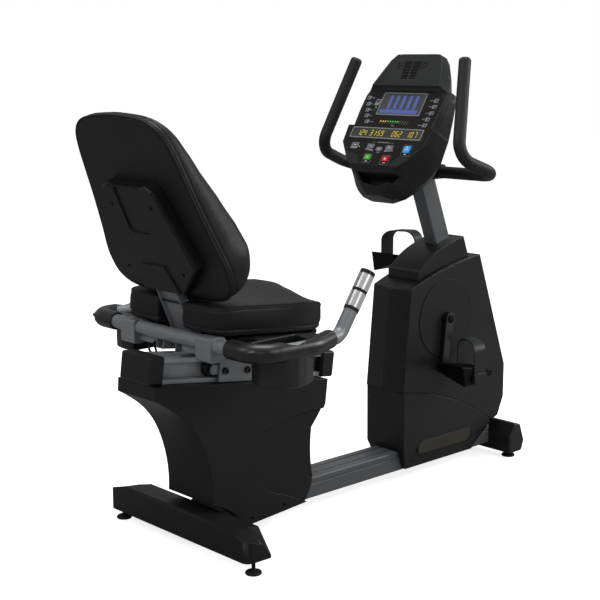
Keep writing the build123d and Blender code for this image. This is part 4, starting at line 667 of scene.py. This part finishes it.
def plate_mesh(name, outline, low, high, point, material, ease=0.0):
    """A flat plate from an outline in a plane, between two heights, with its upper rim eased."""
    middle = np.mean(np.array(outline, float), axis=0)
    n = len(outline)
    rings = []
    for height, inset in ((low, 0.0), (high - ease, 0.0), (high, ease)):
        for p in np.array(outline, float):
            away = p - middle
            rings.append(point(*(p - away / max(np.linalg.norm(away), 1e-9) * inset), height))
    faces = band_faces(3, n) + [tuple(range(n)), tuple(range(2 * n, 3 * n))]
    return new_mesh(name, rings, faces, material, smooth=False)


def rounded(width, height, radius, steps=4, skew=0.0, place=(0, 0)):
    """A rounded rectangle, leaned by `skew`."""
    corners = [(1, 1, 0), (-1, 1, 90), (-1, -1, 180), (1, -1, 270)]
    loop = []
    for sx, sy, start in corners:
        for k in range(steps + 1):
            angle = radians(start + 90 * k / steps)
            x = sx * (width / 2 - radius) + radius * cos(angle)
            y = sy * (height / 2 - radius) + radius * sin(angle)
            loop.append((place[0] + x + skew * y, place[1] + y))
    return loop


def joined(name, pieces):
    """Several meshes made one, each face keeping its own finish."""
    shape = bmesh.new()
    finishes = []
    for piece in pieces:
        first = len(shape.faces)
        shape.from_mesh(piece.data)
        shape.faces.ensure_lookup_table()
        mat = piece.data.materials[0]
        if mat not in finishes:
            finishes.append(mat)
        for face in shape.faces[first:]:
            face.material_index = finishes.index(mat)
        bpy.data.objects.remove(piece)
    mesh = bpy.data.meshes.new(name)
    shape.to_mesh(mesh)
    shape.free()
    for mat in finishes:
        mesh.materials.append(mat)
    made = bpy.data.objects.new(name, mesh)
    scene.collection.objects.link(made)
    return made


# ---------------------------------------------------------------- console face
def lit(name, colour, strength, cells=0.0):
    """A glowing segment; with `cells` it is broken up by the fine grid of a dot display."""
    mat, tree, shader, add = new_finish(name)
    link = tree.links.new
    shader.inputs["Base Color"].default_value = (*[c * 0.4 for c in colour], 1)
    shader.inputs["Roughness"].default_value = 0.35
    shader.inputs["Emission Color"].default_value = (*colour, 1)
    shader.inputs["Emission Strength"].default_value = strength
    place = add("ShaderNodeTexCoord")
    if cells:
        turn = add("ShaderNodeMapping")
        turn.inputs["Rotation"].default_value = (0, radians(-57), 0)
        link(place.outputs["Object"], turn.inputs["Vector"])
        grid = add("ShaderNodeTexChecker", Scale=cells)
        grid.inputs["Color1"].default_value = (*colour, 1)
        grid.inputs["Color2"].default_value = (*[c * 0.55 for c in colour], 1)
        link(turn.outputs["Vector"], grid.inputs["Vector"])
        link(grid.outputs["Color"], shader.inputs["Emission Color"])
    else:
        cloud = add("ShaderNodeTexNoise", Scale=300.0)
        link(place.outputs["Object"], cloud.inputs["Vector"])
        ranged(add, link, cloud.outputs["Fac"], shader.inputs["Emission Strength"], 0.8 * strength,
               1.2 * strength)
    return mat


CONSOLE_RISE, CONSOLE_RUN = 0.8387, 0.5446       # sine and cosine of the face's lean of 57 degrees
console_point = plane_point(vec(0.276, 0, 1.110), vec(CONSOLE_RUN, 0, CONSOLE_RISE), (0, -1, 0),
                            vec(-CONSOLE_RISE, 0, CONSOLE_RUN))
screen_grey = moulded("display glass", (0.052, 0.056, 0.054), rough=0.25, grain=0.1)
line_grey = moulded("text window glass", (0.040, 0.045, 0.038), rough=0.25, grain=0.1)
bar_blue = lit("display blue", (0.085, 0.125, 0.40), 0.55, cells=330.0)
amber = lit("display amber", (0.62, 0.44, 0.02), 0.9)
led_yellow = lit("lamp yellow", (0.75, 0.5, 0.04), 0.9)
led_green = lit("lamp green", (0.05, 0.6, 0.08), 0.9)
print_grey = moulded("printed key grey", (0.20, 0.205, 0.225), rough=0.35, grain=0.2)
print_dark = moulded("printed key dark", (0.045, 0.047, 0.055), rough=0.35, grain=0.2)
print_white = moulded("printed white", (0.55, 0.55, 0.55), rough=0.4, grain=0.2)
print_dim = moulded("printed dim white", (0.20, 0.20, 0.20), rough=0.4, grain=0.2)
UPPER, LOWER = 0.0112, 0.0212       # heights of the film round the display and round the keys
INK = 0.0003                        # thickness of printed and glowing marks


def face_piece(name, outline, level, high, material, ease=0.0):
    """A plate on the console's face; its outline is in metres across and up the face."""
    return plate_mesh(name, outline, level, level + high, console_point, material, ease)


def mark(name, shape, level, material, high=INK, ease=0.0):
    """A rounded mark on the face; `shape` is its width, height, corner radius, corner steps, lean and place."""
    return face_piece(name, rounded(*shape), level, high, material, ease)


SEGMENTS = {"0": "abcdef", "1": "bc", "2": "abged", "3": "abgcd", "4": "fgbc", "5": "afgcd", "6": "afgedc",
            "7": "abc", "8": "abcdefg", "9": "abcdfg"}


def digit_plates(text, start, pitch):
    """Seven-segment numerals in the text window, one slim outline for each lit segment."""
    base, width, height, skew, thick = -0.0720, 0.0078, 0.0170, 0.12, 0.0016
    plates = []
    at = start
    half = height / 2
    for sign in text:
        if sign in ":.":
            for level in ((0.3, 0.7) if sign == ":" else (0.06,)):
                y = height * level
                plates.append(rounded(thick, thick, 0.0004, 1, 0, (at - pitch * 0.22 + skew * y, base + y)))
            at += pitch * 0.15
            continue
        bars = {"a": (width / 2, height, 1), "g": (width / 2, half, 1), "d": (width / 2, 0, 1),
                "f": (0, half * 1.5, 0), "b": (width, half * 1.5, 0), "e": (0, half * 0.5, 0),
                "c": (width, half * 0.5, 0)}
        for bar in SEGMENTS[sign]:
            x, y, flat = bars[bar]
            size = (width - thick * 0.7, thick) if flat else (thick, half - thick * 0.7)
            plates.append(rounded(*size, 0.0005, 1, skew, (at + x + skew * y, base + y)))
        at += pitch
    return plates


GLASS = 0.0006
face_parts = [mark("glass", (0.166, 0.070, 0.002, 4, 0, (0, 0.043)), UPPER - 0.0002, screen_grey, GLASS),
              mark("strip", (0.276, 0.029, 0.002, 4, 0, (0, -0.0635)), LOWER - 0.0002, line_grey, GLASS),
              mark("base", (0.150, 0.013, 0.0003, 4, 0, (-0.002, 0.0175)), UPPER + 0.0004, bar_blue)]
for across in (-0.049, -0.0235, 0.002, 0.0275, 0.053):
    face_parts.append(mark("bar", (0.0115, 0.046, 0.0003, 4, 0, (across, 0.049)), UPPER + 0.0004, bar_blue))
for text, start, pitch in (("124", -0.115, 0.0128), ("31:59", -0.064, 0.0138), ("062", 0.024, 0.0138),
                           ("10.7", 0.082, 0.0138)):
    for outline in digit_plates(text, start, pitch):
        face_parts.append(face_piece("digit", outline, LOWER + 0.0004, INK, amber))
readout = joined("console_readout", face_parts)
settle(readout, "display_windows")

# printed keys at both sides of the display, with their captions as plain bars
LEFT_KEYS = [(-0.142, 0.062), (-0.135, 0.041), (-0.128, 0.020), (-0.121, 0.0), (-0.110, -0.020)]
RIGHT_KEYS = [(0.128, 0.058), (0.130, 0.038), (0.130, 0.016), (0.125, -0.005), (0.124, -0.025)]
CAPTIONS = (0.013, 0.009, 0.011, 0.010, 0.016)
LEAN = 0.1
printed = []
for side, column in ((1, LEFT_KEYS), (-1, RIGHT_KEYS)):
    for row, (a, b) in enumerate(column):
        length = CAPTIONS[row] * (1.0 if side > 0 else 1.1)
        beside = (a + side * (0.0105 + length / 2), b)
        printed += [mark("key", (0.0165, 0.0125, 0.002, 3, LEAN, (a, b)), UPPER, print_grey, 0.0007, 0.0005),
                    mark("sign", (0.007, 0.0075, 0.001, 2, LEAN, (a - side * 0.002, b)), UPPER + 0.0006,
                         print_dark),
                    mark("caption", (length, 0.0022, 0.0008, 2, LEAN, beside), UPPER, print_dim)]
printed += [mark("key", (0.019, 0.022, 0.0025, 3, LEAN, (-0.0995, 0.047)), UPPER, print_grey, 0.0007, 0.0005),
            mark("sign", (0.012, 0.010, 0.001, 2, LEAN, (-0.099, 0.051)), UPPER + 0.0006, print_dark)]
for a, b, finish in ((-0.0985, 0.030, led_green), (-0.0985, 0.019, print_dim)):
    printed.append(mark("lamp", (0.0055, 0.0024, 0.0008, 2, LEAN, (a, b)), UPPER, finish, 0.0004))
for k in range(12):
    finish = led_yellow if k < 3 else led_green if k < 8 else print_dim
    a = -0.054 + 0.0098 * k
    tall = 0.0040 if k < 8 else 0.0022
    printed += [mark("lamp", (0.0040, tall, 0.0006, 2, 0.35, (a, -0.0165)), UPPER, finish, 0.0004),
                mark("tick", (0.0028, 0.0026, 0.0005, 2, 0.2, (a - 0.001, -0.0225)), UPPER, print_dim)]
printed.append(mark("caption", (0.012, 0.0028, 0.001, 2, LEAN, (-0.001, -0.0305)), UPPER, print_dim))
upper_print = joined("console_upper_print", printed)
settle(upper_print, "console_face")

printed = [mark("key", (0.027, 0.021, 0.003, 4, LEAN, (-0.104, -0.109)), LOWER, print_grey, 0.0009, 0.0006),
           mark("sign", (0.017, 0.011, 0.002, 3, LEAN, (-0.1035, -0.106)), LOWER + 0.0008, print_dark),
           mark("sign", (0.008, 0.0035, 0.001, 3, LEAN, (-0.1035, -0.106)), LOWER + 0.0010, print_white),
           mark("lamp", (0.0032, 0.0040, 0.001, 3, LEAN, (-0.0845, -0.111)), LOWER, led_green, 0.0005),
           mark("caption", (0.045, 0.0026, 0.001, 2, LEAN, (0.004, -0.0935)), LOWER, print_dim)]
for side in (-1, 1):
    wedge = [(side * a, b) for a, b in ((0.0555, -0.1205), (0.052, -0.1125), (0.0235, -0.1185), (0.0215, -0.1245))]
    bracket = (0.004 + side * 0.034, -0.0945)
    printed += [mark("bracket", (0.017, 0.0009, 0.0004, 1, 0, bracket), LOWER, print_dim),
                face_piece("wedge", wedge[::side], LOWER, 0.0004, print_grey)]
printed.append(mark("caption", (0.013, 0.0030, 0.001, 2, LEAN, (0, -0.1270)), LOWER, print_dim))
lower_print = joined("console_lower_print", printed)
settle(lower_print, "console_face")

# frames and captions round the coloured keys, and the signs on the keys themselves
START_KEY, STOP_KEY, FAN_KEY = (-0.032, -0.145), (0.040, -0.147), (0.107, -0.112)
KEY_WIDE = 0.025
frames = []
for (a, b), high in ((START_KEY, 0.017), (STOP_KEY, 0.017), (FAN_KEY, 0.022)):
    outer = rounded(KEY_WIDE + 0.0075, high + 0.0145, 0.0045, 5, 0, (a, b - 0.0035))
    inner = rounded(KEY_WIDE + 0.0059, high + 0.0129, 0.0038, 5, 0, (a, b - 0.0035))
    n = len(outer)
    verts = [console_point(*p, LOWER + rise) for rise in (INK, -INK) for p in outer + inner]
    faces = []
    for k in range(n):
        j = (k + 1) % n
        faces += [(k, j, n + j, n + k), (2 * n + k, 3 * n + k, 3 * n + j, 2 * n + j),
                  (k, 2 * n + k, 2 * n + j, j), (n + k, n + j, 3 * n + j, 3 * n + k)]
    frames.append(new_mesh("rim", verts, faces, print_grey, smooth=False))
    below = (a, b - high / 2 - 0.0045)
    frames.append(mark("caption", (0.010, 0.0026, 0.0008, 2, 0, below), LOWER, print_white))
key_frames = joined("console_key_frames", frames)
settle(key_frames, "console_face")
KEY_TOP = 0.0227
arrow = [(-0.0345, -0.1405), (-0.0275, -0.1450), (-0.0345, -0.1495)]
start_sign = face_piece("start_sign", arrow, KEY_TOP, INK, print_white)
settle(start_sign, "start_key")
stop_sign = mark("stop_sign", (0.007, 0.007, 0.001, 2, 0, STOP_KEY), KEY_TOP, print_white)
settle(stop_sign, "stop_key")
BLADE = ((-0.0012, 0.0009), (0.0012, 0.0009), (0.0030, 0.0060), (0, 0.0076), (-0.0030, 0.0060))
blades = []
for k in range(3):
    turn = radians(120 * k)
    outline = [(FAN_KEY[0] + cos(turn) * x - sin(turn) * y, FAN_KEY[1] + 0.0015 + sin(turn) * x + cos(turn) * y)
               for x, y in BLADE]
    blades.append(face_piece("blade_" + str(k), outline, KEY_TOP, INK, print_white))
fan_sign = joined("fan_sign", blades)
settle(fan_sign, "fan_key")
for name, place in (("enter", (0.0, -0.116)), ("level_down", (-0.038, -0.108)), ("level_up", (0.038, -0.110))):
    sign = mark(name + "_sign", (0.007, 0.0022, 0.0006, 2, 0, place), KEY_TOP, print_white)
    settle(sign, name + "_key")

# slanted side slats of the fan grille, raised from the cap
SLAT_OUTLINE = ((-0.011, -0.0008), (0.011, -0.0008), (0.0118, 0.0008), (-0.0118, 0.0008))
slat = new_mesh("slat", [vec(x, y, z) for z in (-0.0006, 0.0006) for x, y in SLAT_OUTLINE],
                [(0, 1, 2, 3), (4, 5, 6, 7), (0, 1, 5, 4), (1, 2, 6, 5), (2, 3, 7, 6), (3, 0, 4, 7)],
                print_dark)
places = [console_point(-0.0075 + side * (0.0475 - 0.0008 * k), 0.178 - 0.0052 * k, 0.0302)
          for side in (-1, 1) for k in range(5)]
TURN_TO_FACE = Matrix(((0, CONSOLE_RUN, -CONSOLE_RISE), (-1, 0, 0), (0, CONSOLE_RISE, CONSOLE_RUN))).to_euler()
grille_slats = repeated("grille_side_slats", slat, places, TURN_TO_FACE, cap_plastic)
settle(grille_slats, "console_front")

# ---------------------------------------------------------------- moulded armrests
def evened(piece, rounds, group=""):
    """Rounds of smoothing to be baked in, over the whole piece or a vertex group of it."""
    melt = piece.modifiers.new("melt", "SMOOTH")
    melt.factor = 0.5
    melt.iterations = rounds
    melt.vertex_group = group


BIN_DEEP, BIN_FADE = 0.055, 0.012       # height of the bin below the rim, and of the blend into the rim
for side in ("right", "left"):
    name = "armrest_" + side
    rest = merged_copy(name, name + "_moulded", rest_plastic)
    remeshed(rest, 0.0019)
    heights = coords(rest)[:, 2]
    bin_top = heights.min() + BIN_DEEP
    bin_wall = rest.vertex_groups.new(name="bin")
    for index, height in enumerate(heights):
        if height < bin_top:
            bin_wall.add([index], min(1.0, (bin_top - height) / BIN_FADE), "REPLACE")
    evened(rest, 8)
    evened(rest, 70, "bin")
    fewer = rest.modifiers.new("fewer", "DECIMATE")
    fewer.ratio = 0.3
    baked(rest)
    rest.data.shade_smooth()
    settle(rest, name, replaces=True)


# ---------------------------------------------------------------- trims on the housing and the cranks
CRANK = (0.419, 0.500)
CRANK_LEAN = radians(8)
CRANK_LONG = 0.152
CRANK_FACE = 0.0992
DISC_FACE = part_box("crank_discs")[1][1]
PEDAL_OUT = 0.162
TREAD_RISE, TREAD_BACK, TREAD_LONG = 0.029, 0.056, 0.147       # height and rear end from the pedal's pin, length
TREAD_FALL = TREAD_RISE / TREAD_LONG
COVER_FACE = 0.077


def circle(radius, y, count):
    """Points round the crank's axle at a distance out from the middle of the bike."""
    return [vec(CRANK[0] + radius * cos(2 * pi * k / count), y, CRANK[1] + radius * sin(2 * pi * k / count))
            for k in range(count)]


for side, word in ((-1, "right"), (1, "left")):
    edge = circle(0.1195, side * (DISC_FACE - 0.0008), 120)
    ring = tube_loop("disc_ring_" + word, edge, 0.0013, shell_plastic)
    settle(ring, "crank_discs")
    cap_rings = []
    for radius, lift in ((0.0125, 0.0), (0.0125, 0.0022), (0.0112, 0.0034), (0.006, 0.0042)):
        cap_rings += circle(radius, side * (CRANK_FACE + lift), 32)
    cap_rings += [vec(CRANK[0], side * (CRANK_FACE + lift), CRANK[1]) for lift in (0.0, 0.0044)]
    cap = new_mesh("hub_cap_" + word, cap_rings, ring_faces(4, 32), pedal_plastic)
    settle(cap, "crank_arms")

    # ribs across the tread of the pedal
    pin = vec(CRANK[0] + side * CRANK_LONG * sin(CRANK_LEAN), 0, CRANK[1] + side * CRANK_LONG * cos(CRANK_LEAN))
    rib = plate_mesh("rib", rounded(0.0026, 0.084, 0.001, 2), -0.001, 0.0013, vec, pedal_plastic, ease=0.0006)
    rib_places = [pin + vec(dx, side * PEDAL_OUT, TREAD_RISE - (dx + TREAD_BACK) * TREAD_FALL)
                  for dx in np.arange(-0.047, 0.088, 0.0085)]
    slope = (0, atan2(TREAD_RISE, TREAD_LONG), 0)
    tread = repeated("pedal_tread_" + word, rib, rib_places, slope, pedal_plastic)
    settle(tread, "pedal_" + word)

    # bare badge on the lower cover
    badge_point = plane_point(vec(0, side * COVER_FACE, 0), vec(0, 0, 1), (1, 0, 0), vec(0, side, 0))
    badge = plate_mesh("badge_" + word, rounded(0.246, 0.040, 0.017, 8, 0.25, (0.426, 0.1065)), -0.0005, 0.0018,
                       badge_point, badge_plastic, ease=0.0012)
    settle(badge, "front_lower_cover")

CURVED = ("handlebar", "handlebar_grips", "pulse_grips", "pulse_plates", "crank_arms", "seat_frame", "rail_caps",
          "rear_shroud_left", "rear_shroud_right", "front_top_cover", "front_shell_left", "front_shell_right",
          "front_lower_cover", "seat_lever", "pedal_strap_left", "pedal_strap_right", "console_front",
          "console_back", "leveller_rear_right", "leveller_rear_left", "leveller_front_right",
          "leveller_front_left", "handlebar_clamp", "back_plate", "rear_foot", "front_foot", "seat_pan")
for node in CURVED:
    smoothed(node)
# ---------------------------------------------------------------- stage, lamps and camera
def flat_white(name):
    """A floor that looks white where it is lit and keeps the object's soft shadow."""
    mat = bpy.data.materials.new(name)
    mat.use_nodes = True
    tree = mat.node_tree
    link = tree.links.new
    out = tree.nodes["Material Output"]
    body = tree.nodes["Principled BSDF"]
    body.inputs["Base Color"].default_value = (0.3, 0.3, 0.3, 1)
    body.inputs["Roughness"].default_value = 0.9
    body.inputs["Specular IOR Level"].default_value = 0.0
    glow = tree.nodes.new("ShaderNodeEmission")
    glow.inputs["Strength"].default_value = 0.78
    pale = tree.nodes.new("ShaderNodeBsdfDiffuse")
    pale.inputs["Color"].default_value = (0.8, 0.8, 0.8, 1)
    seen = tree.nodes.new("ShaderNodeAddShader")
    path = tree.nodes.new("ShaderNodeLightPath")
    mix = tree.nodes.new("ShaderNodeMixShader")
    link(glow.outputs["Emission"], seen.inputs[0])
    link(pale.outputs["BSDF"], seen.inputs[1])
    link(path.outputs["Is Camera Ray"], mix.inputs["Fac"])
    link(body.outputs["BSDF"], mix.inputs[1])
    link(seen.outputs["Shader"], mix.inputs[2])
    link(mix.outputs["Shader"], out.inputs["Surface"])
    return mat


def plane_object(name, corners, material):
    mesh = bpy.data.meshes.new(name)
    mesh.from_pydata(corners, [], [tuple(range(len(corners)))])
    mesh.materials.append(material)
    made = bpy.data.objects.new(name, mesh)
    scene.collection.objects.link(made)
    return made


FLOOR_HALF = 9
corners = [(x * FLOOR_HALF, y * FLOOR_HALF, 0) for x, y in ((-1, -1), (1, -1), (1, 1), (-1, 1))]
floor = plane_object("studio_floor", corners, flat_white("floor white"))

world = bpy.data.worlds.new("studio")
scene.world = world
world.use_nodes = True
sky = world.node_tree.nodes["Background"]
sky.inputs["Color"].default_value = (1, 1, 1, 1)
sky.inputs["Strength"].default_value = 0.3
bright = world.node_tree.nodes.new("ShaderNodeBackground")
bright.inputs["Color"].default_value = (1, 1, 1, 1)
bright.inputs["Strength"].default_value = 1.0
seen = world.node_tree.nodes.new("ShaderNodeLightPath")
choose = world.node_tree.nodes.new("ShaderNodeMixShader")
world.node_tree.links.new(seen.outputs["Is Camera Ray"], choose.inputs["Fac"])
world.node_tree.links.new(sky.outputs["Background"], choose.inputs[1])
world.node_tree.links.new(bright.outputs["Background"], choose.inputs[2])
world.node_tree.links.new(choose.outputs["Shader"], world.node_tree.nodes["World Output"].inputs["Surface"])


def lamp(name, place, target, size, power):
    """A soft square lamp aimed at a point."""
    data = bpy.data.lights.new(name, "AREA")
    data.shape = "SQUARE"
    data.size = size
    data.energy = power
    made = bpy.data.objects.new(name, data)
    scene.collection.objects.link(made)
    made.location = place
    made.rotation_euler = (Vector(target) - Vector(place)).to_track_quat("-Z", "Y").to_euler()
    return made


lamp("key lamp", (0.6, -3.9, 2.9), (0, 0, 0.6), 1.8, 40)
lamp("side lamp", (3.4, -2.2, 2.4), (0.1, 0, 0.6), 1.6, 80)
lamp("rear lamp", (-3.6, 0.8, 3.2), (-0.3, 0, 0.7), 1.8, 40)
lamp("camera lamp", (-3.3, -2.6, 2.2), (0, 0, 0.6), 0.9, 16)
lamp("top lamp", (0.2, 0.2, 4.2), (0, 0, 0.5), 2.2, 110)

camera_data = bpy.data.cameras.new("camera")
camera_data.lens = 77.138
camera_data.sensor_width = 36
camera = bpy.data.objects.new("camera", camera_data)
camera.location = (-2.56196, -2.61043, 1.27835)
camera.rotation_euler = (radians(90 - 10.530), 0, radians(46.947 - 90))
scene.collection.objects.link(camera)
scene.camera = camera
scene.view_settings.view_transform = "Standard"
